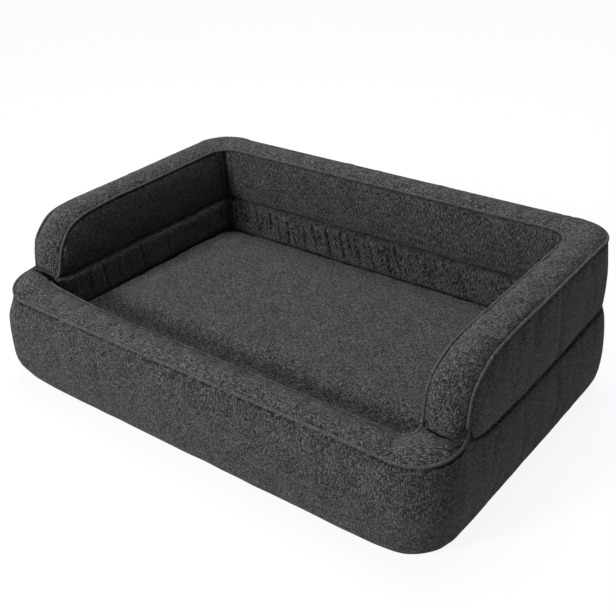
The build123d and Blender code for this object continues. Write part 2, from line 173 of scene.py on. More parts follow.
def planHalf(loop, steps):
    # Half a loop, front middle to back middle: plan points and outward directions
    frontX = loop["reachX"] - loop["front"]
    frontY = loop["front"] - loop["reachY"]
    backX = loop["reachX"] - loop["back"]
    backY = loop["reachY"] - loop["back"]
    points, outward = [], []

    def straight(start, end, facing, count):
        for share in np.linspace(0, 1, count, endpoint=False):
            points.append(np.array(start) * (1 - share) + np.array(end) * share)
            outward.append(facing)

    def corner(centre, radius, start, count):
        for angle in np.linspace(start, start + pi / 2, count, endpoint=False):
            facing = np.array([cos(angle), sin(angle)])
            points.append(np.array(centre) + facing * radius)
            outward.append(facing)

    straight((0, -loop["reachY"]), (frontX, -loop["reachY"]), (0, -1), steps["front"])
    corner((frontX, frontY), loop["front"], -pi / 2, steps["frontCorner"])
    straight((loop["reachX"], frontY), (loop["reachX"], backY), (1, 0), steps["side"])
    corner((backX, backY), loop["back"], 0, steps["backCorner"])
    straight((backX, loop["reachY"]), (0, loop["reachY"]), (0, 1), steps["back"])
    points.append(np.array([0, loop["reachY"]]))
    outward.append((0, 1))
    return np.array(points), np.array(outward, float)


def mirrored(half):
    # A half of the left side, drawn as on the right, put where it belongs and run backwards
    half = np.array(half[::-1])
    half[..., 0] *= -1
    return half


def joinRing(right, left):
    # Two halves, each from front middle to back middle, made into a closed ring
    return np.concatenate([right, mirrored(left[1:-1])])


def joinHalves(right, left):
    # Two halves from foot to back middle, made into one run from foot to foot
    return np.concatenate([right, mirrored(left[:-1])])


# Meshes

def meshPiece(name, verts, faces, places=None):
    mesh = bpy.data.meshes.new(name)
    mesh.from_pydata([tuple(v) for v in verts], [], faces)
    mesh.update()
    if places is not None:
        layer = mesh.uv_layers.new(name="cloth")
        layer.data.foreach_set("uv", np.asarray(places, np.float32).ravel())
    piece = bpy.data.objects.new(name, mesh)
    bpy.context.scene.collection.objects.link(piece)
    shaper = bmesh.new()
    shaper.from_mesh(mesh)
    bmesh.ops.recalc_face_normals(shaper, faces=shaper.faces)
    shaper.to_mesh(mesh)
    shaper.free()
    mesh.polygons.foreach_set("use_smooth", [True] * len(mesh.polygons))
    return piece


def gridFaces(cols, rows, closed, ringed):
    # Quads of a grid of columns; closed joins the last column to the first, ringed the rows
    faces = []
    for c in range(cols if closed else cols - 1):
        d = (c + 1) % cols
        for r in range(rows if ringed else rows - 1):
            q = (r + 1) % rows
            faces.append((c * rows + r, d * rows + r, d * rows + q, c * rows + q))
    return faces


def shell(name, sections, places, closed):
    # Joins closed sections, one per column, into a skin; places are cloth coordinates in metres
    cols, rows = sections.shape[:2]
    faces, corners = gridFaces(cols, rows, closed, True), []
    for c in range(cols if closed else cols - 1):
        for r in range(rows):
            corners += [places[c, r], places[c + 1, r], places[c + 1, r + 1], places[c, r + 1]]
    if not closed:
        for c, order in ((0, range(rows)), (cols - 1, range(rows - 1, -1, -1))):
            faces.append(tuple(c * rows + r for r in order))
            corners += [places[c, r] for r in order]
    return meshPiece(name, sections.reshape(-1, 3), faces, corners)


def sectionPlaces(sections, closed):
    # Cloth coordinates: along the run at mid-section, and round the section
    ringed = np.concatenate([sections, sections[:1]]) if closed else sections
    along = lengths(ringed[:, ringed.shape[1] // 3])
    looped = np.concatenate([ringed, ringed[:, :1]], axis=1)
    across = np.array([lengths(column) for column in looped])
    return np.stack([np.broadcast_to(along[:, None], across.shape), across], axis=-1)


def wallPlaces(sections, closed):
    # Cloth coordinates for an upright panel: along the wall in plan, and height
    ringed = np.concatenate([sections, sections[:1]]) if closed else sections
    looped = np.concatenate([ringed, ringed[:, :1]], axis=1)
    steps = np.linalg.norm(np.diff(looped[..., :2], axis=0), axis=-1)
    if closed:
        steps = np.broadcast_to(np.median(steps, axis=1, keepdims=True), steps.shape)
    along = np.concatenate([np.zeros((1, looped.shape[1])), np.cumsum(steps, axis=0)])
    return np.stack([along - along[len(along) // 2], looped[..., 2]], axis=-1)


def tube(name, path, radius, sides, closed):
    # A cord along a polyline, with a frame carried from point to point
    path = np.asarray(path, float)
    ahead = np.roll(path, -1, axis=0) - np.roll(path, 1, axis=0)
    if not closed:
        ahead[0], ahead[-1] = path[1] - path[0], path[-1] - path[-2]
    ahead = unit(ahead)
    side = unit(np.cross(ahead[0], (0, 0, 1)))
    frames = []
    for direction in ahead:
        side = unit(side - direction * np.dot(side, direction))
        frames.append((side, np.cross(direction, side)))
    angles = np.linspace(0, 2 * pi, sides, endpoint=False)
    rings = [
        point + radius * (np.outer(np.cos(angles), a) + np.outer(np.sin(angles), b))
        for point, (a, b) in zip(path, frames)
    ]
    rings = np.array(rings)
    return shell(name, rings, sectionPlaces(rings, closed), closed)


def roundedPlan(halfWidth, halfDepth, radius, steps):
    # A closed rounded rectangle, started at the middle of its front
    loop = dict(reachX=halfWidth, reachY=halfDepth, front=radius, back=radius)
    counts = dict(
        front=steps[0], frontCorner=steps[1], side=steps[2], backCorner=steps[1], back=steps[0]
    )
    points, outward = planHalf(loop, counts)
    return joinRing(points, points), joinRing(outward, outward)


def slab(plan, inset, heightTop, heightBottom):
    # A cloth panel laid flat: rings from its seam to its middle, above and below
    reach = plan.max(axis=0)
    count, half = len(plan), len(inset)
    shrink = np.array([reach[1] / reach[0], 1.0])
    rings = []
    for depths, height in ((inset, heightTop), (inset[::-1], heightBottom)):
        for depth in depths:
            share = depth / reach[1]
            shrunk = plan * (1 - share * shrink)
            rings.append(np.column_stack([shrunk, height(shrunk, share)]))
    middle = np.zeros((1, 2))
    tips = [[0, 0, heightTop(middle, 1.0)[0]], [0, 0, heightBottom(middle, 1.0)[0]]]
    verts = np.vstack([*rings, tips])
    top, bottom = len(verts) - 2, len(verts) - 1
    faces = []
    for r in [*range(half - 1), *range(half, 2 * half - 1)]:
        for c in range(count):
            d = (c + 1) % count
            faces.append((r * count + c, r * count + d, (r + 1) * count + d, (r + 1) * count + c))
    for c in range(count):
        d = (c + 1) % count
        faces.append(((half - 1) * count + c, (half - 1) * count + d, top))
        faces.append((half * count + d, half * count + c, bottom))
        faces.append(((2 * half - 1) * count + c, (2 * half - 1) * count + d, d, c))
    return verts, faces


def flatPiece(name, verts, faces):
    # A laid panel, whose cloth coordinates are its place in plan
    return meshPiece(name, verts, faces, [verts[v][:2] for face in faces for v in face])


def paint(piece, material):
    piece.data.materials.clear()
    piece.data.materials.append(material)


def dress(piece, node, material, body="bed"):
    # Puts a finished piece in place of its solid
    paint(piece, material)
    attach(piece, body)
    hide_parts(node)


def sew(name, node, face, hidden, cloth, closed=False, places=wallPlaces, body="bed"):
    # Closes a panel's face with its hidden side and puts it in place of its solid
    sections = np.concatenate([face, hidden], axis=1)
    piece = shell(name, sections, places(sections, closed), closed)
    dress(piece, node, cloth, body)


# Cloth simulation

clothFeel = dict(
    quality=5, mass=0.25, tension_stiffness=18, compression_stiffness=14, shear_stiffness=6,
    bending_stiffness=0.6, use_pressure=True, vertex_group_mass="seam",
)
settleFrames = 18
heldFeet = 4  # columns held at each open end of a panel


def settle(name, verts, faces, held, pressure, slack, cap):
    # Lets a panel of cloth, held at its seams, swell and pucker; no point moves more than cap
    verts = np.asarray(verts, float)
    mesh = bpy.data.meshes.new(name + "Trial")
    mesh.from_pydata([tuple(v) for v in verts], [], faces)
    mesh.update()
    trial = bpy.data.objects.new(name + "Trial", mesh)
    bpy.context.scene.collection.objects.link(trial)
    group = trial.vertex_groups.new(name="seam")
    for level in np.unique(held):
        if level > 0:
            group.add([int(i) for i in np.nonzero(held == level)[0]], float(level), "REPLACE")
    settings = trial.modifiers.new("Cloth", "CLOTH").settings
    feel = dict(clothFeel, uniform_pressure_force=pressure, shrink_min=-slack)
    for key, value in feel.items():
        setattr(settings, key, value)
    settings.effector_weights.gravity = 0
    scene = bpy.context.scene
    for step in range(1, settleFrames + 1):
        scene.frame_set(step)
    shown = trial.evaluated_get(bpy.context.evaluated_depsgraph_get())
    settled = np.empty(len(verts) * 3, np.float32)
    shown.data.vertices.foreach_get("co", settled)
    scene.frame_set(1)
    bpy.data.objects.remove(trial)
    bpy.data.meshes.remove(mesh)
    moved = settled.reshape(-1, 3) - verts
    far = np.maximum(np.linalg.norm(moved, axis=1, keepdims=True), 1e-9)
    kept = cap * np.tanh(far / cap)
    print(name, "settled, furthest", round(float(kept.max()) * 1000, 1), "mm")
    return verts + moved / far * kept


def settleGrid(name, grid, closed, away, pressure, slack, cap, edge=2):
    # The same for a panel given as columns of points, whose outer rows stay where they are
    cols, rows = grid.shape[:2]
    faces = gridFaces(cols, rows, closed, False)
    first = grid[[cols // 3, cols // 3 + 1], rows // 2]
    upward = grid[cols // 3, rows // 2 + 1] - first[0]
    if np.dot(np.cross(first[1] - first[0], upward), first[0] - away) < 0:
        faces = [face[::-1] for face in faces]
    held = np.zeros((cols, rows))
    held[:, [edge, -edge - 1]] = 0.5
    held[:, :edge] = held[:, -edge:] = 1
    if not closed:
        held[:heldFeet] = held[-heldFeet:] = 1
    settled = settle(name, grid.reshape(-1, 3), faces, held.ravel(), pressure, slack, cap)
    return settled.reshape(grid.shape)


# Shader groups

def makeGroup(name, inputs, outputs):
    group = bpy.data.node_groups.new(name, "ShaderNodeTree")
    for label, kind, value in inputs:
        socket = group.interface.new_socket(label, in_out="INPUT", socket_type=kind)
        if value is not None:
            socket.default_value = value
    for label, kind in outputs:
        group.interface.new_socket(label, in_out="OUTPUT", socket_type=kind)
    return group, group.nodes.new("NodeGroupInput"), group.nodes.new("NodeGroupOutput")


class Nodes:
    # Short calls for adding and linking nodes in one tree
    def __init__(self, tree):
        self.tree = tree

    def add(self, kind, ins=(), **settings):
        node = self.tree.nodes.new(kind)
        for key, value in settings.items():
            setattr(node, key, value)
        for key, value in dict(ins).items():
            self.set(node.inputs[key], value)
        return node

    def set(self, socket, value):
        if isinstance(value, bpy.types.NodeSocket):
            self.tree.links.new(value, socket)
        else:
            socket.default_value = value

    def maths(self, operation, a, b=0.0, clamp=False):
        node = self.add("ShaderNodeMath", {0: a, 1: b}, operation=operation, use_clamp=clamp)
        return node.outputs[0]

    def scaled(self, vector, scale):
        node = self.add("ShaderNodeVectorMath", {0: vector, 1: scale}, operation="MULTIPLY")
        return node.outputs[0]

    def noise(self, vector, scale, detail=2.0, rough=0.5):
        node = self.add(
            "ShaderNodeTexNoise",
            {"Vector": vector, "Scale": scale, "Detail": detail, "Roughness": rough},
        )
        return node.outputs[0]

    def span(self, value, low, high, toLow=0.0, toHigh=1.0):
        ends = {"From Min": low, "From Max": high, "To Min": toLow, "To Max": toHigh}
        return self.add("ShaderNodeMapRange", {"Value": value, **ends}).outputs[0]

    def mix(self, factor, a, b, blend="MIX"):
        node = self.add("ShaderNodeMix", data_type="RGBA", blend_type=blend)
        self.set(node.inputs[0], factor)
        self.set(node.inputs[6], a)
        self.set(node.inputs[7], b)
        return node.outputs[2]

    def seen(self):
        # 1 for rays that look at a surface or the world, 0 for rays that carry light
        path = self.add("ShaderNodeLightPath").outputs
        direct = self.maths("MAXIMUM", path["Is Camera Ray"], path["Is Glossy Ray"])
        return self.maths("MAXIMUM", direct, path["Is Transmission Ray"])

    def finish(self, kind, shader):
        self.set(self.add(kind).inputs["Surface"], shader.outputs[0])


# Layers of the weave: waves per metre along a yarn and across it, noise detail, share of tone
weaveLayers = [(100, 620, 1.0, 1.00), (230, 1100, 1.0, 1.35), (16, 460, 0.0, 0.20)]
weaveLook = dict(
    mottle=(26, 26, 1), mottleShare=0.16, darkest=-0.17, lightest=0.24, threads=260.0,
    toneRelief=1.8, threadRelief=0.35,
)


def weaveGroup():
    # Linen-look cloth: a plain weave with light and dark slubs both ways, and slow mottling
    group, start, end = makeGroup(
        "linenWeave",
        [
            ("Place", "NodeSocketVector", None),
            ("Dark", "NodeSocketColor", (0.0075, 0.0075, 0.0080, 1)),
            ("Middle", "NodeSocketColor", (0.037, 0.037, 0.0375, 1)),
            ("Light", "NodeSocketColor", (0.168, 0.168, 0.168, 1)),
            ("Warp Share", "NodeSocketFloat", 0.5),
            ("Contrast", "NodeSocketFloat", 1.38),
        ],
        [("Color", "NodeSocketColor"), ("Height", "NodeSocketFloat")],
    )
    n = Nodes(group)
    place = start.outputs["Place"]
    warpShare = start.outputs["Warp Share"]
    weftShare = n.maths("SUBTRACT", 1.0, warpShare)

    def centred(scale, detail, roughness, share):
        # Noise about zero, as strong as its share
        value = n.noise(n.scaled(place, scale), 1.0, detail, roughness)
        return n.maths("MULTIPLY", n.maths("SUBTRACT", value, 0.5), share)

    tone = None
    for long, across, detail, share in weaveLayers:
        weft = centred((long, across, 1), detail, 0.5, weftShare)
        warp = centred((across, long, 1), detail, 0.5, warpShare)
        layer = n.maths("MULTIPLY", n.maths("ADD", weft, warp), share)
        tone = n.maths("ADD", tone, layer) if tone else layer
    mottle = centred(weaveLook["mottle"], 3.0, 0.6, weaveLook["mottleShare"])
    tone = n.maths("MULTIPLY", n.maths("ADD", tone, mottle), start.outputs["Contrast"])
    darkness = n.span(tone, weaveLook["darkest"], 0.0)
    lower = n.mix(darkness, start.outputs["Dark"], start.outputs["Middle"])
    color = n.mix(n.span(tone, 0.0, weaveLook["lightest"]), lower, start.outputs["Light"])
    n.set(end.inputs["Color"], color)
    threads, picks = (
        n.add(
            "ShaderNodeTexWave", {"Vector": place, "Scale": weaveLook["threads"]},
            bands_direction=direction,
        ).outputs[1]
        for direction in "XY"
    )
    woven = n.maths("MULTIPLY", n.maths("MULTIPLY", threads, picks), weaveLook["threadRelief"])
    height = n.maths("ADD", n.maths("MULTIPLY", tone, weaveLook["toneRelief"]), woven)
    n.set(end.inputs["Height"], height)
    return group


def newMaterial(name):
    material = bpy.data.materials.new(name)
    material.use_nodes = True
    tree = material.node_tree
    tree.nodes.clear()
    return material, Nodes(tree)


def finishMaterial(n, color, height, strength, distance, **values):
    shader = n.add("ShaderNodeBsdfPrincipled", {"Base Color": color})
    for label, value in values.items():
        n.set(shader.inputs[label.replace("_", " ")], value)
    relief = {"Height": height, "Strength": strength, "Distance": distance}
    n.set(shader.inputs["Normal"], n.add("ShaderNodeBump", relief).outputs[0])
    n.finish("ShaderNodeOutputMaterial", shader)


def weaveNode(n, group, place, values):
    weave = n.add("ShaderNodeGroup", node_tree=group)
    n.set(weave.inputs["Place"], place)
    for label, value in values.items():
        n.set(weave.inputs[label.replace("_", " ")], value)
    return weave.outputs["Color"], weave.outputs["Height"]


def clothMaterial(name, group, turn=0.0, **values):
    material, n = newMaterial(name)
    source = n.add("ShaderNodeUVMap", uv_map="cloth").outputs[0]
    turned = n.add("ShaderNodeMapping", {"Vector": source, "Rotation": (0, 0, radians(turn))})
    color, height = weaveNode(n, group, turned.outputs[0], values)
    finishMaterial(
        n, color, height, 0.6, 0.0005,
        Roughness=0.92, Sheen_Weight=0.06, Sheen_Roughness=0.6, Specular_IOR_Level=0.2,
    )
    return material


def coreMaterial(name, low, high, cell, strength):
    # Foam or fibre inside the cover: open cells and slow blotches
    material, n = newMaterial(name)
    place = n.add("ShaderNodeTexCoord").outputs["Object"]
    cells = n.add("ShaderNodeTexVoronoi", {"Vector": place, "Scale": cell}).outputs["Distance"]
    blotch = n.noise(place, 14.0, 3.0)
    tone = n.maths("ADD", n.maths("MULTIPLY", cells, 0.6), n.maths("MULTIPLY", blotch, 0.7))
    color = n.mix(n.span(tone, 0.2, 0.9), low, high)
    finishMaterial(n, color, cells, strength, 0.001, Roughness=0.95, Specular_IOR_Level=0.2)
    return material


def metalMaterial(name):
    # Zip sliders, pulls and stops: dark nickel with fine scratches
    material, n = newMaterial(name)
    place = n.add("ShaderNodeTexCoord").outputs["Object"]
    scratches = n.noise(n.scaled(place, (900, 4000, 4000)), 1.0, 3.0)
    wear = n.noise(place, 500.0, 2.0)
    color = n.mix(wear, (0.20, 0.20, 0.21, 1), (0.42, 0.42, 0.44, 1))
    roughness = n.span(scratches, 0.3, 0.7, 0.28, 0.46)
    finishMaterial(n, color, scratches, 0.2, 0.0001, Roughness=roughness, Metallic=1.0)
    return material


def gripMaterial(name, group, **values):
    # Non-slip cloth of the underside: dark weave with rows of rubber dots
    material, n = newMaterial(name)
    source = n.add("ShaderNodeUVMap", uv_map="cloth").outputs[0]
    color, height = weaveNode(n, group, source, values)
    dots = n.add("ShaderNodeTexVoronoi", {"Vector": source, "Scale": 90.0, "Randomness": 0.0})
    mask = n.span(dots.outputs["Distance"], 0.24, 0.20)
    color = n.mix(mask, color, (0.09, 0.09, 0.095, 1))
    height = n.maths("ADD", height, n.maths("MULTIPLY", mask, 2.5))
    finishMaterial(n, color, height, 0.8, 0.0006, Roughness=0.8)
    return material


def grey(value, blue=0.0):
    return value, value, value + blue, 1


weave = weaveGroup()
wallCloth = clothMaterial("wallCloth", weave, Warp_Share=0.58)
# Same cloth for the top bands, painted a little lighter: painted light standing in for the light
# falling on their crowned tops
bandClothPaintedLight = clothMaterial(
    "bandClothPaintedLight", weave, Warp_Share=0.45, Middle=grey(0.0415, 0.0005), Light=grey(0.188)
)
innerCloth = clothMaterial("innerCloth", weave, Warp_Share=0.80, Contrast=1.1)
mattressCloth = clothMaterial("mattressCloth", weave, Warp_Share=0.5)
# Same cloth cut on the bias for the piping, painted much lighter: a painted highlight standing in
# for the light the round cords catch
pipingClothPaintedHighlight = clothMaterial(
    "pipingClothPaintedHighlight", weave, turn=45, Contrast=0.7, Middle=grey(0.080, 0.001), Light=grey(0.22)
)
bottomCloth = gripMaterial("bottomCloth", weave, Light=grey(0.05), Middle=grey(0.022, 0.001))
baseFoam = coreMaterial("baseFoam", (0.42, 0.41, 0.38, 1), (0.62, 0.60, 0.55, 1), 900.0, 0.5)
fibreFill = coreMaterial("fibreFill", (0.66, 0.66, 0.65, 1), (0.84, 0.84, 0.83, 1), 260.0, 0.9)
zipMetal = metalMaterial("zipMetal")
zipTape = clothMaterial("zipTape", weave, Light=grey(0.05), Middle=grey(0.02))
print("materials made")


# Piping and seam lines of each side. Points are (x, y, z) or (y, height), in metres, with x as
# on the right; run is the height along the front, foot leads up to where the bolster starts

rightSide = dict(
    bow=0.0065, crease=dict(front=0.0090, top=0.0080),
    outer=dict(
        reach=halfY, run=[(0, 0.172), (0.200, 0.1715), (0.384, 0.170)],
        corner=dict(radius=0.061, low=0.170, high=0.1738),
        foot=[(0.4462, -0.229, 0.1752), (0.4455, -0.2135, 0.181)],
        rise=[
            (-0.2135, 0.181), (-0.2148, 0.203), (-0.2115, 0.229), (-0.2000, 0.2555),
            (-0.157, 0.281), (-0.107, 0.289), (riseEnd, 0.291),
        ],
    ),
    inner=dict(
        reach=innerY, run=[(0, 0.169), (0.200, 0.168), (0.345, 0.1672)],
        foot=[
            (0.358, -0.2436, 0.1688), (0.371, -0.2395, 0.1730), (0.3795, -0.2350, 0.1795),
            (0.3845, -0.2315, 0.189),
        ],
        rise=[
            (-0.2315, 0.189), (-0.2330, 0.205), (-0.2305, 0.228), (-0.2245, 0.248),
            (-0.2090, 0.268), (-0.166, 0.286), (-0.115, 0.2905), (riseEnd, 0.291),
        ],
    ),
    seam=[
        (-0.2135, 0.1802), (-0.200, 0.1745), (-0.185, 0.1665), (-0.165, 0.1605),
        (-0.135, 0.158), (-0.024, 0.156), (0.089, 0.156), (0.208, 0.162), (0.303, 0.165),
    ],
    innerSeam=[(-0.2315, 0.1880), (-0.215, 0.1840), (-0.190, 0.1830), (0.244, 0.183)],
)
leftSide = dict(
    bow=0.0, crease=dict(front=0.0110, top=0.0080),
    outer=dict(
        reach=halfY, run=[(0, 0.172), (0.200, 0.1722), (0.395, 0.1740)],
        corner=dict(radius=0.050, low=0.1740, high=0.1905),
        foot=[(0.4462, -0.235, 0.192), (0.4455, -0.222, 0.194)],
        rise=[
            (-0.222, 0.194), (-0.2198, 0.2115), (-0.2168, 0.230), (-0.208, 0.253),
            (-0.178, 0.280), (-0.137, 0.289), (riseEnd, 0.291),
        ],
    ),
    inner=dict(
        reach=innerY, run=[(0, 0.169), (0.205, 0.1705), (0.284, 0.1755), (0.350, 0.1825)],
        foot=[(0.366, -0.2438, 0.1842), (0.378, -0.2427, 0.1856), (0.387, -0.2395, 0.186)],
        tuck=[
            (0.387, -0.2395, 0.186), (0.3965, -0.2365, 0.174), (0.3990, -0.2300, 0.171),
            (0.3865, -0.2225, 0.190),
        ],
        rise=[
            (-0.2225, 0.190), (-0.2165, 0.200), (-0.2115, 0.220), (-0.2055, 0.238),
            (-0.191, 0.260), (-0.172, 0.275), (-0.139, 0.285), (riseEnd, 0.291),
        ],
    ),
    seam=[
        (-0.222, 0.1932), (-0.205, 0.180), (-0.185, 0.168), (-0.160, 0.160),
        (-0.024, 0.156), (0.089, 0.156), (0.208, 0.162), (0.303, 0.165),
    ],
    innerSeam=[(-0.2225, 0.1890), (-0.205, 0.1850), (-0.180, 0.1835), (0.244, 0.183)],
)
tuckSteps = 9
tuckLength = 0.006
footSpread = 1.35  # columns stand closer together near a bolster's foot
backLift = 0.0045  # the bolster stands a little higher at the back
tightCorner = (0.427, -0.286)  # the front corner whose foot is drawn in most
seamCorner, creaseCorner = 0.056, 0.018  # back corner radius of the side seam and inner crease
sides = (rightSide, leftSide)


def bolsterTop(y):
    return bolsterHeight + backLift * ease(y, riseEnd, innerY)


def frontLine(part, tucked):
    # From the front middle round the corner to the foot; a tucked side ends in a few more points
    endX, endZ = part["run"][-1]
    x = np.linspace(0, endX, planSteps["front"], endpoint=False)
    straight = np.column_stack([x, np.full(len(x), -part["reach"]), heightAlong(part["run"], x)])
    lead = [(endX, -part["reach"], endZ)]
    if "corner" in part:
        radius, low, high = (part["corner"][key] for key in ("radius", "low", "high"))
        for share in np.linspace(0, 1, 8)[1:]:
            angle = (share - 1) * pi / 2
            x = endX + radius * cos(angle)
            y = radius - part["reach"] + radius * sin(angle)
            lead.append((x, y, low + (high - low) * share))
    bend = smoothLine(lead + part["foot"], denseSteps)
    last = []
    if "tuck" in part:
        last = [smoothLine(part["tuck"], tuckSteps + 1)[1:]]
    elif tucked:
        cut = lengths(bend)[-1] - tuckLength
        last = [spaced(bend[lengths(bend) >= cut], tuckSteps + 1)[1:]]
        bend = bend[lengths(bend) <= cut]
    corner = spaced(bend[::-1], planSteps["frontCorner"], footSpread)[::-1]
    return np.vstack([straight, corner, *last])


def topLine(part, loop):
    # From the foot up over the bolster's end, along its top and round to the back middle
    up = smoothLine([(loop["reachX"], y, z) for y, z in part["rise"]], denseSteps)
    up = spaced(up, riseSteps + 1, footSpread)
    up[0] = part.get("tuck", part["foot"])[-1]
    up[1, 0] = (up[0, 0] + loop["reachX"]) / 2
    backY = loop["reachY"] - loop["back"]
    run = [(loop["reachX"], y) for y in np.linspace(riseEnd, backY, runSteps, endpoint=False)[1:]]
    run += [tuple(point) for point in planHalf(loop, planSteps)[0][backStart:]]
    run = np.array([(x, y, bolsterTop(y)) for x, y in run])
    return np.vstack([up, run])


def lowerEdge(top, heights, cornerRadius, loop):
    # The seam or crease below a bolster panel, one point for each point of the piping above
    low = top.copy()
    share = np.linspace(0, 1, riseSteps + 1)
    low[: riseSteps + 1, 1] = top[0, 1] + (riseEnd - top[0, 1]) * share ** 1.5
    low[: riseSteps + 1, 0] = loop["reachX"] + (top[0, 0] - loop["reachX"]) * (1 - share) ** 8
    plan, _ = planHalf(dict(loop, back=cornerRadius), planSteps)
    backY = loop["reachY"] - loop["back"]
    stretch = low[riseSteps + 1: riseSteps + runSteps]
    stretch[:, 1] += ease(stretch[:, 1], riseEnd, backY) * (loop["back"] - cornerRadius)
    low[riseSteps + runSteps:, :2] = plan[backStart:]
    low[:, 2] = heightAlong(heights, low[:, 1])
    return low


for side in sides:
    tucked = "tuck" in side["inner"]
    for name, loop in (("outer", outerLoop), ("inner", innerLoop)):
        part = side[name]
        part["front"] = frontLine(part, tucked)
        part["top"] = topLine(part, loop)
    side["outer"]["low"] = lowerEdge(side["outer"]["top"], side["seam"], seamCorner, outerLoop)
    side["inner"]["low"] = lowerEdge(
        side["inner"]["top"], side["innerSeam"], creaseCorner, innerLoop
    )

for name in ("outer", "inner"):
    halves = [np.vstack([side[name]["front"], side[name]["top"][1:]]) for side in sides]
    cord = tube(name + "Piping", joinRing(*halves), pipeRadius, 14, True)
    dress(cord, name + "_piping", pipingClothPaintedHighlight)
print("pipings made")


# Padded bands on top of the walls

band = dict(
    crown=0.0100, hump=(2.6, 0.66), base=0.004, sunkBase=0.007, baseAt=(0.94, 0.4, -0.4, -0.94),
    tuck=0.0014, rows=26, creaseWidth=0.0075, footRoll=0.020, bowLength=0.045,
)


def bandHalf(outerLine, innerLine, swell, bow, dip):
    # Crowned sections across a band, as full as swell says; bow moves the middle of its foot
    # forward, and dip lowers its inner side
    across = outerLine - innerLine
    width = np.linalg.norm(across, axis=1, keepdims=True)
    acrossUnit = across / width
    middle = (outerLine + innerLine) / 2
    ahead = unit(np.gradient(middle, axis=0))
    rise = unit(np.cross(acrossUnit, ahead))
    q = np.sin(np.linspace(-pi / 2, pi / 2, band["rows"]))
    hump = (1 - np.abs(q) ** band["hump"][0]) ** band["hump"][1]
    reach = width / 2 - pipeRadius * 0.7
    top = middle[:, None] + acrossUnit[:, None] * (q[None, :, None] * reach[:, None])
    fullness = 1 - (1 - swell[:, None]) * (1 - q[None] ** 2) ** 0.5
    fullness = fullness - dip[:, None] * (0.5 - 0.5 * q[None]) ** 2
    lift = band["crown"] * hump[None] * fullness - band["tuck"] * (1 - hump[None])
    top = top + rise[:, None] * lift[..., None]
    top[..., 1] -= bow[:, None] * (1 - q[None] ** 2)
    base = []
    under = band["base"] + band["sunkBase"] * (1 - np.clip(swell, 0, 1))[:, None]
    for share in band["baseAt"]:
        point = middle + acrossUnit * reach * share - rise * under
        point[:, 1] -= bow * (1 - share ** 2)
        base.append(point)
    return top, np.stack(base, axis=1)


def bandPart(side, part):
    outerLine, innerLine = side["outer"][part], side["inner"][part]
    middle = (outerLine + innerLine) / 2
    along = lengths(middle)
    tucked = part == "front" and "tuck" in side["inner"]
    last = len(middle) - 1 - (tuckSteps if tucked else 0)
    fromFoot = np.maximum(along if part == "top" else along[last] - along, 0)
    crease = groove(fromFoot, side["crease"][part], band["creaseWidth"])
    swell = 1 - (crease / band["crown"] + 0.55 * rolled(fromFoot, band["footRoll"]))
    dip = np.zeros(len(swell))
    if tucked:
        share = np.linspace(0, 1, tuckSteps + 1)[1:]
        swell[last + 1:] = 0.10
        dip[last + 1:] = 0.9 * np.sin(pi * share) ** 0.7
    bow = side["bow"] * (1 - ease(fromFoot, 0, band["bowLength"]))
    return bandHalf(outerLine, innerLine, swell, bow, dip)


bandMiddle = np.array([0, 0, -0.6])

(rightTop, rightBase), (leftTop, leftBase) = (bandPart(side, "top") for side in sides)
face = waved(joinHalves(rightTop, leftTop), False, bandMiddle, 0.03, 5, 0.0012)
face = settleGrid("bolsterTopBand", face, False, bandMiddle, 2.5, 0.022, 0.006)
base = joinHalves(rightBase, leftBase)
sew("bolsterTopBand", "bolster_top_band", face, base, bandClothPaintedLight, places=sectionPlaces)

(rightTop, rightBase), (leftTop, leftBase) = (bandPart(side, "front") for side in sides)
face = np.concatenate([mirrored(leftTop[1:]), rightTop])
face = waved(face, False, bandMiddle, 0.035, 9, 0.0010)
face = settleGrid("frontTopBand", face, False, bandMiddle, 2.5, 0.016, 0.005)
base = np.concatenate([mirrored(leftBase[1:]), rightBase])
sew("frontTopBand", "front_top_band", face, base, bandClothPaintedLight, places=sectionPlaces)
print("bands made")


# Lower outer wall

baseWall = dict(
    low=0.0034, inside=0.0045, insideSeam=0.0115, insideZip=halfY - 0.0055,
    besidePipe=dict(depth=0.0085, width=0.0050, flat=0.72),
    besideSeam=dict(depth=0.0090, width=0.0042), levels=[
        0.0034, 0.0042, 0.0060, 0.0085, 0.0120, 0.0165, 0.0220, 0.0290, 0.0370, 0.0430, 0.0475,
        0.0489, 0.0540, 0.0600, 0.0660, 0.0711, 0.0725, 0.0780, 0.0860, 0.0940,
    ],
    upperRows=11,
    profile=[
        (-0.0062, 0.0034), (-0.0028, 0.0052), (0.0010, 0.0120), (0.0052, 0.0270),
        (0.0088, 0.0500), (0.0102, 0.0860), (0.0088, 0.1200), (0.0050, 0.1520), (0.0016, 0.1720),
    ],
    swells=[
        dict(place=(-0.430, -0.286), width=0.060, out=0.0080, low=0.040, high=0.130, fade=0.04),
        dict(place=(-0.430, -0.286), width=0.060, out=-0.0055, low=0.0, high=0.010, fade=0.05),
        dict(place=tightCorner, width=0.055, out=-0.0105, low=0.0, high=0.020, fade=0.08),
        dict(place=(0.447, 0.230), width=0.110, out=0.0042, low=0.030, high=0.145, fade=0.03),
        dict(place=(0.447, 0.110), width=0.170, out=0.0022, low=0.0, high=0.030, fade=0.06),
    ],
)
# Pockets behind the zips: height of the middle, half height, half length, y of the cloth
zipPocket = dict(cover=(0.060, 0.0114, 0.312, 0.3054), mattress=(0.045, 0.0114, 0.292, 0.2294))
pipeDrop, seamDrop = 0.0015, 0.0003  # how far below its piping or seam a lower panel ends


def wallRows(topHeights, piece):
    # Heights of the rows of each column: fixed near the floor, then spread up to the seam
    levels = np.array(piece["levels"])
    start = levels[-1]
    end = topHeights - seamRows[-1]
    shares = np.linspace(0, 1, piece["upperRows"])[1:]
    upper = start + (end - start)[:, None] * shares[None]
    near = topHeights[:, None] - seamRows[-2::-1][None]
    lower = np.broadcast_to(levels, (len(topHeights), len(levels)))
    return np.concatenate([lower, upper, near], axis=1)


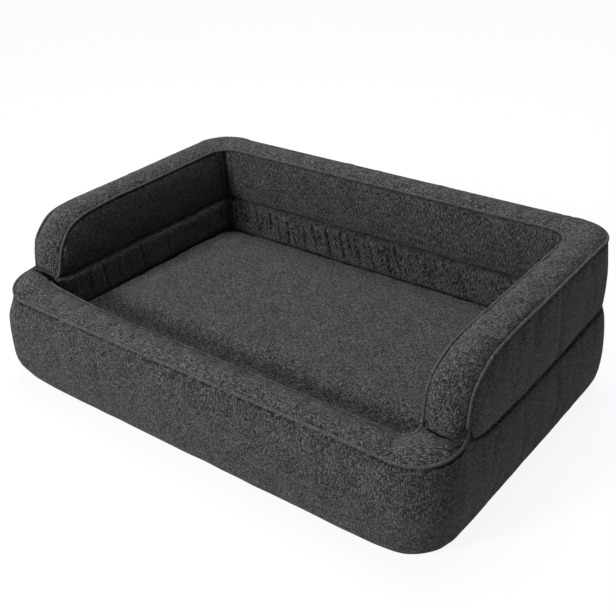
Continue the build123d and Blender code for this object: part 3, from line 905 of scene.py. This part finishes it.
def hiddenSide(plan, outward, low, high, back, seamBack, lowBack):
    # The inner face of an upright panel, further in at its upper seam and its lower edge
    points = []
    for share, depth in ((1.0, seamBack), (0.66, back), (0.33, back), (0.0, lowBack)):
        z = low + (high - low) * share
        points.append(np.concatenate([plan - outward * depth, z[:, None]], axis=-1))
    return np.stack(points, axis=1)


def sinkPocket(face, pocket):
    # Draws the cloth in behind the zip, which lies in the back of the wall
    middle, half, reach, depth = pocket
    inside = (np.abs(face[..., 0]) < reach) & (face[..., 1] > 0) & (
        np.abs(face[..., 2] - middle) < half
    )
    face[..., 1] = np.where(inside, np.minimum(face[..., 1], depth), face[..., 1])
    return face


def edgeRing(name):
    # Just below a loop's front piping and the seam or crease behind it, with directions outward
    halves = []
    for side in sides:
        front = side[name]["front"] - (0, 0, pipeDrop)
        halves.append(np.vstack([front, side[name]["low"][1:] - (0, 0, seamDrop)]))
    normals = [sideways(half) for half in halves]
    for normal in normals:
        normal[0], normal[-1] = (0, -1), (0, 1)
    return joinRing(*halves), joinRing(*normals)


ring, outward = edgeRing("outer")
for _ in range(3):
    outward = unit(outward + np.roll(outward, 1, axis=0) + np.roll(outward, -1, axis=0))
plan, topHeights = ring[:, :2], ring[:, 2]
heights = wallRows(topHeights, baseWall)
profile = smoothLine(baseWall["profile"], 90)
out = np.interp(heights, profile[:, 1], profile[:, 0])
under = topHeights[:, None] - heights
# The valley under the piping is shallower at the front left corner and beside the feet
behindFoot = ease(plan[:, 1], -0.225, -0.190)[:, None]
farLeft = bump(np.linalg.norm(plan - (-0.435, -0.275), axis=1), 0, 0.040)[:, None]
atFoot = bump(plan[:, 1], -0.217, 0.012)[:, None]
beside = (1 - behindFoot) * (1 - 0.7 * farLeft) * (1 - 0.6 * atFoot)
pipeValley = beside * groove(under, **baseWall["besidePipe"])
out -= pipeValley + behindFoot * groove(under, **baseWall["besideSeam"])
for part in baseWall["swells"]:
    near = bump(np.linalg.norm(plan - part["place"], axis=1), 0, part["width"])[:, None]
    within = ease(heights, part["low"] - part["fade"], part["low"])
    within = within * (1 - ease(heights, part["high"], part["high"] + part["fade"]))
    out += part["out"] * near * within
bedMiddle = np.array([0, 0, 0.08])
face = standing(plan[:, None], outward, out, heights)
face = waved(face, True, bedMiddle, 0.05, 2, 0.0010)
face = settleGrid("baseBorder", face, True, bedMiddle, 1.2, 0.006, 0.004, edge=4)
face = sinkPocket(face, zipPocket["cover"])
low = np.full(len(plan), baseWall["low"])
inside, insideSeam = baseWall["inside"], baseWall["insideSeam"]
hidden = hiddenSide(plan, outward, low, topHeights, inside, insideSeam, inside - out[:, :1])
atBack = plan[:, 1] > halfY - 0.001
hidden[atBack, :, 1] = np.minimum(hidden[atBack, :, 1], baseWall["insideZip"])
sew("baseBorder", "base_border", face, hidden, wallCloth, closed=True)
print("lower wall made")


# Upper panels of the bolster

bolster = dict(outerRows=24, innerRows=26, insideEdge=0.0115, footInside=0.003)


def fanPanel(name, facing, profile, rows):
    # Columns fan out from the foot and stand upright behind the climb
    rows = edgeRows(rows)
    faces, hidden = [], []
    for side in sides:
        top, low = side[name]["top"], side[name]["low"].copy()
        low[0] = top[0] - (0, 0, 0.0012)
        outward = unit(sideways(low) + sideways(top)) * facing
        span = np.linalg.norm(top - low, axis=1)
        face = low[:, None] * (1 - rows[None, :, None]) + top[:, None] * rows[None, :, None]
        out = profile(rows[None] * span[:, None], span[:, None])
        face[..., :2] += outward[:, None] * out[..., None]
        faces.append(face)
        behind = []
        foot, edge = bolster["footInside"], bolster["insideEdge"]
        for part, depth in ((1.0, edge), (0.66, clothDepth), (0.33, clothDepth), (0.0, edge)):
            point = low * (1 - part) + top * part
            point[:, :2] -= outward * (foot + (depth - foot) * beyondFoot(span))[:, None]
            behind.append(point)
        hidden.append(np.stack(behind, axis=1))
    return joinHalves(*faces), joinHalves(*hidden)


def beyondFoot(span):
    # 0 where a panel starts at its foot, 1 where it has opened out
    return ease(span, 0.002, 0.035)


def panelHump(distance, span, power):
    # A pillow between the two edges, flatter where the panel is low
    return (1 - np.exp(-span / 0.05)) * np.sin(pi * np.clip(distance / span, 0, 1)) ** power


def outerOut(distance, span):
    turned = groove(distance, 0.0105, 0.0038) + groove(span - distance, **pipeGroove)
    seam = 0.0030 * (1 - distance / span)
    return seam + 0.0036 * panelHump(distance, span, 0.7) - turned * beyondFoot(span)


def innerOut(distance, span):
    turned = groove(distance, 0.0040, 0.0046) + groove(span - distance, **pipeGroove)
    overhang = 0.0085 * (1 - np.exp(-span / 0.05)) * rolled(distance, 0.040)
    return 0.0095 * panelHump(distance, span, 0.6) - overhang - turned * beyondFoot(span)


face, hidden = fanPanel("outer", 1, outerOut, bolster["outerRows"])
face = waved(face, False, bedMiddle, 0.045, 3, 0.0012)
face = settleGrid("bolsterOuterPanel", face, False, bedMiddle, 1.5, 0.010, 0.004, edge=4)
sew("bolsterOuterPanel", "bolster_outer_panel", face, hidden, wallCloth)

face, hidden = fanPanel("inner", -1, innerOut, bolster["innerRows"])
# Folds at the back corners: distance from the corner along the wall, depth, width, and the
# heights between which each one runs
cornerFolds = [
    (0.000, 0.0130, 0.0075, 0.170, 0.300), (0.020, 0.0030, 0.0036, 0.205, 0.300),
    (-0.016, 0.0060, 0.0040, 0.175, 0.292), (-0.031, 0.0040, 0.0042, 0.190, 0.300),
    (-0.050, 0.0024, 0.0050, 0.200, 0.290), (0.040, 0.0018, 0.0050, 0.180, 0.260),
]


def cornerAlong(plan):
    # Distance along a wall from its back corner: above 0 along the back, below 0 on the side
    inward = np.array([innerX, innerY]) - np.abs(plan)
    return inward[..., 0] - inward[..., 1]


def foldDepth(plan, heights, folds):
    along = cornerAlong(plan)
    total = np.zeros(np.broadcast(along, heights).shape)
    for at, depth, width, low, high in folds:
        reachZ = ease(heights, low, low + 0.012) * (1 - ease(heights, high - 0.012, high))
        total += depth * bump(along, at, width) * reachZ
    return total


foldOut = unit(face[..., :2] * np.array([1, innerX / innerY]))
face[..., :2] += foldOut * foldDepth(face[..., :2], face[..., 2], cornerFolds)[..., None]
aboveBed = np.array([0, 0, 0.6])
face = waved(face, False, aboveBed, 0.04, 4, 0.0014)
sew("bolsterInnerPanel", "bolster_inner_panel", face, hidden, innerCloth)
print("bolster panels made")


# Gathered border of the well

well = dict(
    rows=32, span=0.17, easing=0.080, out=0.003, puff=0.0072, frontPuff=0.002, puffDepth=0.066,
    crease=dict(depth=0.0056, width=0.0040), lowIn=0.0040, inside=0.0085, insideEdge=0.0135,
    gatherSeed=11, gathers=dict(back=(0.0155, 0.0105), side=(0.028, 0.0036)),  # pitch, depth
    folds=[
        (0.000, 0.0120, 0.0060, 0.06, 0.20), (-0.017, 0.0036, 0.0032, 0.125, 0.20),
        (0.018, 0.0040, 0.0028, 0.120, 0.20),
    ],
)
ring, outward = edgeRing("inner")
plan, topHeights = ring[:, :2], ring[:, 2]
lowHalf, _ = planHalf(innerLoop, planSteps)
lowHalves = []
for side in sides:
    frontCount = len(side["inner"]["front"])
    behind = side["inner"]["low"][1:, :2]
    early = lowHalf[lowHalf[:, 1] < side["inner"]["low"][0, 1]]
    early = np.vstack([early, [innerX, side["inner"]["low"][0, 1]]])
    lowHalves.append(np.vstack([spaced(early, frontCount), behind]))
lowPlan = joinRing(*lowHalves)
outward = unit(sideways(np.vstack([ring[-1:], ring, ring[:1]]))[1:-1])


def finer(grid):
    # Twice the columns of a closed ring, on a smooth line through the old ones
    before, after = np.roll(grid, 1, axis=0), np.roll(grid, -1, axis=0)
    beyond = np.roll(grid, -2, axis=0)
    middle = (9 * (grid + after) - before - beyond) / 16
    return np.stack([grid, middle], axis=1).reshape(-1, *grid.shape[1:])


ring, lowPlan, outward = finer(ring), finer(lowPlan), unit(finer(outward))
plan, topHeights = ring[:, :2], ring[:, 2]
rows = edgeRows(well["rows"], well["span"])
heights = wellBottom + (topHeights - wellBottom)[:, None] * rows[None]
under = topHeights[:, None] - heights
share = ease(under, 0.0, well["easing"])
base = plan[:, None] * (1 - share[..., None]) + lowPlan[:, None] * share[..., None]
behind = ease(plan[:, 1], -innerY + 0.012, -innerY + 0.050)[:, None]
puff = (1 - rolled(under, 0.012)) * (1 - rolled(well["puffDepth"] - under, 0.009))
fullness = well["frontPuff"] + (well["puff"] - well["frontPuff"]) * behind
out = well["out"] + fullness * puff - groove(under, **well["crease"])
out -= well["lowIn"] * ease(under, well["puffDepth"] - 0.002, well["puffDepth"]) * behind
draw = np.random.default_rng(well["gatherSeed"])
along = lengths(plan)
onBack = plan[:, 1] > innerY - 0.004
onSide = (np.abs(plan[:, 0]) > innerX - 0.004) & (plan[:, 1] > -0.20)
for mask, (pitch, depth) in zip((onBack, onSide), well["gathers"].values()):
    # Gathers lean more toward +X, and no two are as deep, as wide or as long
    at = along[mask].min() + 0.01
    while at < along[mask].max():
        lean = 0.42 + 0.95 * np.interp(at, along, plan[:, 0]) + draw.uniform(-0.12, 0.12)
        width = draw.uniform(0.0017, 0.0028)
        deep = depth * draw.uniform(0.30, 1.25)
        start = draw.choice([0.0, 0.002, 0.012])
        reach = start + draw.uniform(0.040, 0.080)
        offset = along[:, None] - at + lean * under
        fold = bump(offset, 0, width) - 0.15 * bump(offset, 2.6 * width, 1.6 * width)
        fade = ease(under, start - 0.002, start + 0.008) * (1 - ease(under, 0.6 * reach, reach))
        out -= deep * fold * fade * mask[:, None]
        at += pitch * draw.uniform(0.55, 1.45)
spots = np.broadcast_to(base, (*heights.shape, 2))
out -= foldDepth(spots, heights, well["folds"]) * (plan[:, 1] > 0)[:, None]
face = waved(standing(base, -outward, out, heights), True, aboveBed, 0.03, 6, 0.0010)
hidden = []
for part in (1.0, 0.94, 0.66, 0.33, 0.0):
    depth = well["insideEdge"] if part > 0.9 else well["inside"]
    spot = lowPlan * (1 - part) + plan * part + outward * depth
    hidden.append(np.column_stack([spot, wellBottom + (topHeights - wellBottom) * part]))
hidden = np.stack(hidden, axis=1)
sew("wellBorder", "well_border", face, hidden, innerCloth, closed=True)
print("well border made")


# Mattress

mattress = dict(radius=0.036, steps=(56, 16, 64), panelIn=0.003, wallIn=0.0015, most=0.002)
mattressHalfX, mattressHalfY = np.array(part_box("mattress_border")[1])[:2]


def mattressPlan(inward):
    reachX, reachY = mattressHalfX - inward, mattressHalfY - inward
    return roundedPlan(reachX, reachY, mattress["radius"], mattress["steps"])


topPlan, _ = mattressPlan(mattress["panelIn"])
inset = np.concatenate([
    [0, -0.0010, -0.0021, -0.0026, -0.0022, -0.0008, 0.0014, 0.0045, 0.0085],
    np.arange(0.013, 0.06, 0.006), np.arange(0.06, 0.231, 0.010),
])
rimHeights = [0, 0.0009, 0.0024, 0.0044, 0.0064, 0.0084, 0.0099, 0.0110, 0.0118]
crown = mattressTop - mattressSeam


# How far the mattress's front rolls down behind the front wall: (y, drop)
frontRoll = [
    (-0.240, 0.0070), (-0.2245, 0.0110), (-0.205, 0.0165), (-0.185, 0.0195), (-0.168, 0.0200),
    (-0.158, 0.0180), (-0.150, 0.0142), (-0.138, 0.0075), (-0.126, 0.0030), (-0.113, 0.0006),
    (-0.100, 0.0), (0.240, 0.0),
]


def frontDrop(points):
    ends = 1 - 0.75 * ease(np.abs(points[:, 0]), 0.330, 0.374)
    return np.maximum(heightAlong(frontRoll, points[:, 1]), 0) * ends


def crownHeight(points, share):
    # Swells out of the seam over the first centimetre, then rises slowly to the middle
    depth = share * mattressHalfY
    rim = np.interp(depth, inset[4:9], rimHeights[4:9])
    if depth < inset[8]:
        rim = rimHeights[int(np.argmin(np.abs(inset[:9] - depth)))]
    slow = 1 - (1 - min(max(share, 0) / 0.8, 1.0)) ** 2.2
    drop = frontDrop(points) * ease(depth, 0, 0.010)
    return mattressSeam + rim + (crown - rimHeights[-1]) * slow - drop


def crownUnder(points, share):
    return np.minimum(mattressSeam, crownHeight(points, share) - 0.003)


verts, faces = slab(topPlan, inset, crownHeight, crownUnder)
upper = len(topPlan) * len(inset)
topTip = len(verts) - 2
remap = {**{i: i for i in range(upper)}, topTip: upper}
topFaces = [tuple(remap[i] for i in face) for face in faces if all(i in remap for i in face)]
topVerts = np.vstack([verts[:upper], verts[topTip]])
aboveSeam = ease(topVerts[:, 2], mattressSeam + 0.004, mattressTop)
topVerts[:, 2] += rough(topVerts * (1, 1, 0), 0.05, 8) * 0.0010 * aboveSeam
held = np.zeros(len(topVerts))
held[: len(topPlan) * 2] = 1
settled = settle("mattressTopPanel", topVerts, topFaces, held, 1.0, 0.006, 0.003)
verts[topTip] = settled[upper]
verts[:upper] = settled[:upper]
verts[:upper, 2] = np.minimum(verts[:upper, 2], mattressTop + mattress["most"])
mattressPanel = flatPiece("mattressTopPanel", verts, faces)
dress(mattressPanel, "mattress_top_panel", mattressCloth, "mattress")

mattressWall = dict(
    levels=[
        0.0099, 0.0104, 0.0116, 0.0140, 0.0180, 0.0240, 0.0300, 0.0333, 0.0342, 0.0390, 0.0450,
        0.0510, 0.0558, 0.0567, 0.0620, 0.0700,
    ],
    upperRows=7, bulge=0.0012, turnIn=0.003, turnWidth=0.005, inside=0.0060, insideLow=0.0070,
)
sidePlan, outward = mattressPlan(mattress["wallIn"])
low, high = (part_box("mattress_border")[i][2] for i in (0, 1))
heights = wallRows(np.full(len(sidePlan), high), mattressWall)
share = (heights - low) / (high - low)
turned = rolled(high - heights, mattressWall["turnWidth"])
out = mattressWall["bulge"] * np.sin(pi * share) ** 0.5 - mattressWall["turnIn"] * turned
out -= mattressWall["turnIn"] * rolled(heights - low, mattressWall["turnWidth"])
face = standing(sidePlan[:, None], outward, out, heights)
face = waved(face, True, bedMiddle * 0.5, 0.04, 7, 0.0004)
face = sinkPocket(face, zipPocket["mattress"])
ends = np.full(len(sidePlan), low), np.full(len(sidePlan), high)
inside, insideLow = mattressWall["inside"], mattressWall["insideLow"]
hidden = hiddenSide(sidePlan, outward, *ends, inside, inside, insideLow)
sew(
    "mattressBorder", "mattress_border", face, hidden, wallCloth, closed=True,
    body="mattress",
)


# Flat panels underneath

flat = dict(steps=(38, 10, 44), ringStep=0.020, rim=0.003, filled=0.96)


def flatPanel(name, node, radius, material, body, wave):
    low, high = (np.array(corner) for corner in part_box(node))
    plan, _ = roundedPlan(high[0], high[1], radius, flat["steps"])
    middle, half = (low[2] + high[2]) / 2, (high[2] - low[2]) / 2
    rings = np.arange(0.012, high[1] - 0.012, flat["ringStep"])
    depths = np.concatenate([[0, 0.0006, 0.0015, 0.003, 0.006], rings])

    def level(sign):
        def height(points, share):
            bulge = half * (1 - rolled(np.array(share * high[1]), flat["rim"])) * flat["filled"]
            spots = np.column_stack([points, np.zeros(len(points))])
            return middle + sign * (bulge - wave * (0.5 + 0.5 * rough(spots, 0.05, sign * 3)))
        return height

    piece = flatPiece(name, *slab(plan, depths, level(1), level(-1)))
    dress(piece, node, material, body=body)


flatPanel(
    "bottomPanel", "bottom_panel", 0.060, bottomCloth, "bed", 0.0003
)
flatPanel(
    "wellFloor", "well_floor", 0.030, wallCloth, "bed", 0.0006
)
flatPanel(
    "mattressBottomPanel", "mattress_bottom_panel", 0.033, wallCloth, "mattress",
    0.0005,
)
print("mattress and flat panels made")


# Foam and fill inside the covers

coreSmoothing = 3
coreInside = 0.0118  # how far behind the inner piping's line a core starts
roomAbove = 0.0075  # from the comfort foam up to the mattress's top


def corePiece(name, node, material, voxel, lump, size, body="bed"):
    # Takes the solid's own place, remeshed, with soft edges and an uneven cut surface
    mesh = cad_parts[node].data.copy()
    core = bpy.data.objects.new(name, mesh)
    bpy.context.scene.collection.objects.link(core)
    remesh = core.modifiers.new("Remesh", "REMESH")
    remesh.mode = "VOXEL"
    remesh.voxel_size = voxel
    remesh.use_smooth_shade = True
    core.modifiers.new("Smooth", "SMOOTH").iterations = coreSmoothing
    bpy.context.view_layer.update()
    shown = core.evaluated_get(bpy.context.evaluated_depsgraph_get())
    done = bpy.data.meshes.new_from_object(shown)
    core.modifiers.clear()
    core.data = done
    points, normals = np.empty((2, len(done.vertices) * 3), np.float32)
    done.vertices.foreach_get("co", points)
    done.vertices.foreach_get("normal", normals)
    points, normals = points.reshape(-1, 3).astype(float), normals.reshape(-1, 3)
    points -= normals * (lump * (0.5 + 0.5 * rough(points, size)))[:, None]
    if node == "mattress_comfort_foam":
        points[:, 2] = np.minimum(points[:, 2], mattressTop - roomAbove - frontDrop(points))
    if body == "bed":
        toWall = np.minimum(halfX - np.abs(points[:, 0]), halfY - np.abs(points[:, 1]))
        drawIn = 0.012 * (1 - ease(points[:, 2], 0.004, 0.030))
        corner = bump(np.linalg.norm(points[:, :2] - tightCorner, axis=1), 0, 0.060)
        drawIn = drawIn + 0.011 * corner * (1 - ease(points[:, 2], 0.03, 0.10))
        push = drawIn * (1 - ease(toWall, 0.015, 0.050))
        points[:, :2] -= np.sign(points[:, :2]) * push[:, None] * 0.85
        # Keeps clear of the inner panels
        inX = innerX + coreInside - np.abs(points[:, 0])
        inY = innerY + coreInside - np.abs(points[:, 1])
        nearer = np.minimum(inX, inY)
        shift = np.where((nearer > 0) & (nearer < 0.03), nearer, 0)
        points[:, 0] += np.where(inX < inY, np.sign(points[:, 0]) * shift, 0)
        points[:, 1] += np.where(inX < inY, 0, np.sign(points[:, 1]) * shift)
    done.vertices.foreach_set("co", points.astype(np.float32).ravel())
    done.update()
    dress(core, node, material, body)


for node in ("front_wall_foam", "back_wall_foam", "left_wall_foam", "right_wall_foam"):
    corePiece(node.split("_")[0] + "WallFoam", node, baseFoam, 0.008, 0.0012, 0.02)
for node in ("left_bolster_fill", "right_bolster_fill", "back_bolster_fill"):
    corePiece(node.split("_")[0] + "BolsterFill", node, fibreFill, 0.008, 0.004, 0.03)
for part in ("comfort", "support"):
    node = f"mattress_{part}_foam"
    corePiece(part + "Foam", node, baseFoam, 0.009, 0.0008, 0.03, "mattress")
print("foam and fill made")


# Zips

teeth = dict(split=0.0009, pitch=0.0022, perTooth=4, tapeSteps=160)
tapeAcross = np.array([0, 0.05, 0.12, 0.2, 0.5, 0.8, 0.93, 1.0])
tapeThickness = np.array([0.55, 0.95, 1.0, 0.72, 0.66, 0.72, 0.9, 0.55])
coilAngles = np.linspace(0, pi, 6)
coilRise = [sin(angle) ** 0.6 if 0 < angle < pi else 0 for angle in coilAngles]


def zipTapes(name, node, body):
    # Two woven tapes with a raised edge beside the teeth
    low, high = (np.array(corner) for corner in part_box(node))
    middle = (low[2] + high[2]) / 2
    strips = []
    for sign in (-1, 1):
        near, far = middle + sign * teeth["split"], middle + sign * (high[2] - middle)
        z = near + (far - near) * tapeAcross
        top = (high[1] - low[1]) * tapeThickness
        x = np.linspace(low[0], high[0], teeth["tapeSteps"])
        outer = np.array([[(a, low[1] + t, b) for b, t in zip(z, top)] for a in x])
        outer[:, 1:-1, 1] += rough(outer[:, 1:-1], 0.012, 1) * 0.00004
        inner = np.array([[(a, low[1], b) for b in z[::-1]] for a in x])
        strips.append(np.concatenate([outer, inner], axis=1))
    joined(name, strips, node, zipTape, body)
    return middle


def zipCoils(name, node, middle, body):
    # Two rows of coil teeth that mesh
    low, high = (np.array(corner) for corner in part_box(node))
    count = int((high[0] - low[0]) / teeth["pitch"])
    x = np.linspace(low[0], high[0], count * teeth["perTooth"] + 1)
    strips = []
    for sign in (-1, 1):
        phase = np.arange(len(x)) * 2 * pi / teeth["perTooth"] + (0 if sign > 0 else pi)
        swell = 0.5 + 0.5 * np.cos(phase)
        height = (high[1] - low[1]) * (0.55 + 0.44 * swell)
        width = (high[2] - middle - teeth["split"]) * (0.72 + 0.27 * swell)
        far = middle + sign * (high[2] - middle)
        ring = []
        for a, h, w in zip(x, height, width):
            z = far - sign * w * (0.5 - 0.5 * np.cos(coilAngles))
            ring.append([(a, low[1] + h * rise, b) for rise, b in zip(coilRise, z)])
        strips.append(np.array(ring))
    joined(name, strips, node, zipTape, body)


def joined(name, strips, node, material, body):
    # Several open runs of sections as one piece
    parts = [shell(name, strip, sectionPlaces(strip, False), False) for strip in strips]
    shaper = bmesh.new()
    for part in parts:
        shaper.from_mesh(part.data)
    piece = parts[0]
    shaper.to_mesh(piece.data)
    shaper.free()
    piece.data.polygons.foreach_set("use_smooth", [True] * len(piece.data.polygons))
    for part in parts[1:]:
        bpy.data.objects.remove(part)
    dress(piece, node, material, body=body)


for name, node, body in (
    ("coverZip", "cover_zip", "bed"), ("mattressZip", "mattress_zip", "mattress"),
):
    middle = zipTapes(name + "Tapes", node + "_tapes", body)
    zipCoils(name + "Coils", node + "_coils", middle, body)
for node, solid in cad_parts.items():
    if node.endswith(("_slider", "_pull", "_stops")):
        for place in solid.material_slots:
            place.material = zipMetal
print("zips made")


# Floor, light and camera

def floorMaterial():
    # Looks white, and throws back less light than it shows so the bed keeps its dark sides
    material, n = newMaterial("paleFloor")
    seen = n.seen()
    grain = n.noise(n.add("ShaderNodeTexCoord").outputs["Object"], 3.0)
    bright = n.mix(n.span(grain, 0.3, 0.7), grey(0.128), grey(0.132))
    color = n.mix(seen, grey(0.58), bright)
    n.finish("ShaderNodeOutputMaterial", n.add("ShaderNodeBsdfPrincipled", {
        "Base Color": color, "Roughness": 0.9, "Specular IOR Level": 0.1,
        "Emission Color": (1, 1, 1, 1), "Emission Strength": n.maths("MULTIPLY", seen, 0.905),
    }))
    return material


bpy.ops.mesh.primitive_plane_add(size=30)
ground = bpy.context.object
ground.name = "floor"
ground.location.z = -0.0005
paint(ground, floorMaterial())

skyStrength = 0.062
world = bpy.data.worlds.new("studio")
bpy.context.scene.world = world
world.use_nodes = True
world.node_tree.nodes.clear()
n = Nodes(world.node_tree)
strength = n.span(n.seen(), 0, 1, skyStrength, 1.0)
glow = n.add("ShaderNodeBackground", {"Color": (1, 1, 1, 1), "Strength": strength})
n.finish("ShaderNodeOutputWorld", glow)


def softLamp(name, place, aim, size, power):
    data = bpy.data.lights.new(name, "AREA")
    data.energy = power
    data.shape = "DISK"
    data.size = size
    lamp = bpy.data.objects.new(name, data)
    lamp.location = place
    lamp.rotation_euler = (Vector(aim) - Vector(place)).to_track_quat("-Z", "Y").to_euler()
    bpy.context.scene.collection.objects.link(lamp)


softLamp("front", (-0.90, -3.10, 1.66), (0, 0, 0.1), 0.8, 80)
softLamp("overhead", (-0.42, 0.70, 3.5), (0, 0, 0.1), 2.2, 70)

view = dict(
    place=(0.903, -1.155, 0.969), azimuth=37.61, elevation=29.375, roll=-1.60,
    focalPixels=942.4, picturePixels=616,
)
azimuth, elevation, roll = (radians(view[key]) for key in ("azimuth", "elevation", "roll"))
back = Vector((sin(azimuth) * cos(elevation), -cos(azimuth) * cos(elevation), sin(elevation)))
level = Vector((cos(azimuth), sin(azimuth), 0))
upright = back.cross(level)
right = cos(roll) * level + sin(roll) * upright
up = -sin(roll) * level + cos(roll) * upright
cameraData = bpy.data.cameras.new("camera")
cameraData.sensor_width = 36
cameraData.lens = view["focalPixels"] / view["picturePixels"] * cameraData.sensor_width
camera = bpy.data.objects.new("camera", cameraData)
turn = Matrix((right, up, back)).transposed()
camera.matrix_world = Matrix.Translation(Vector(view["place"])) @ turn.to_4x4()
bpy.context.scene.collection.objects.link(camera)
bpy.context.scene.camera = camera
bpy.context.scene.view_settings.view_transform = "Standard"
print("stage made")
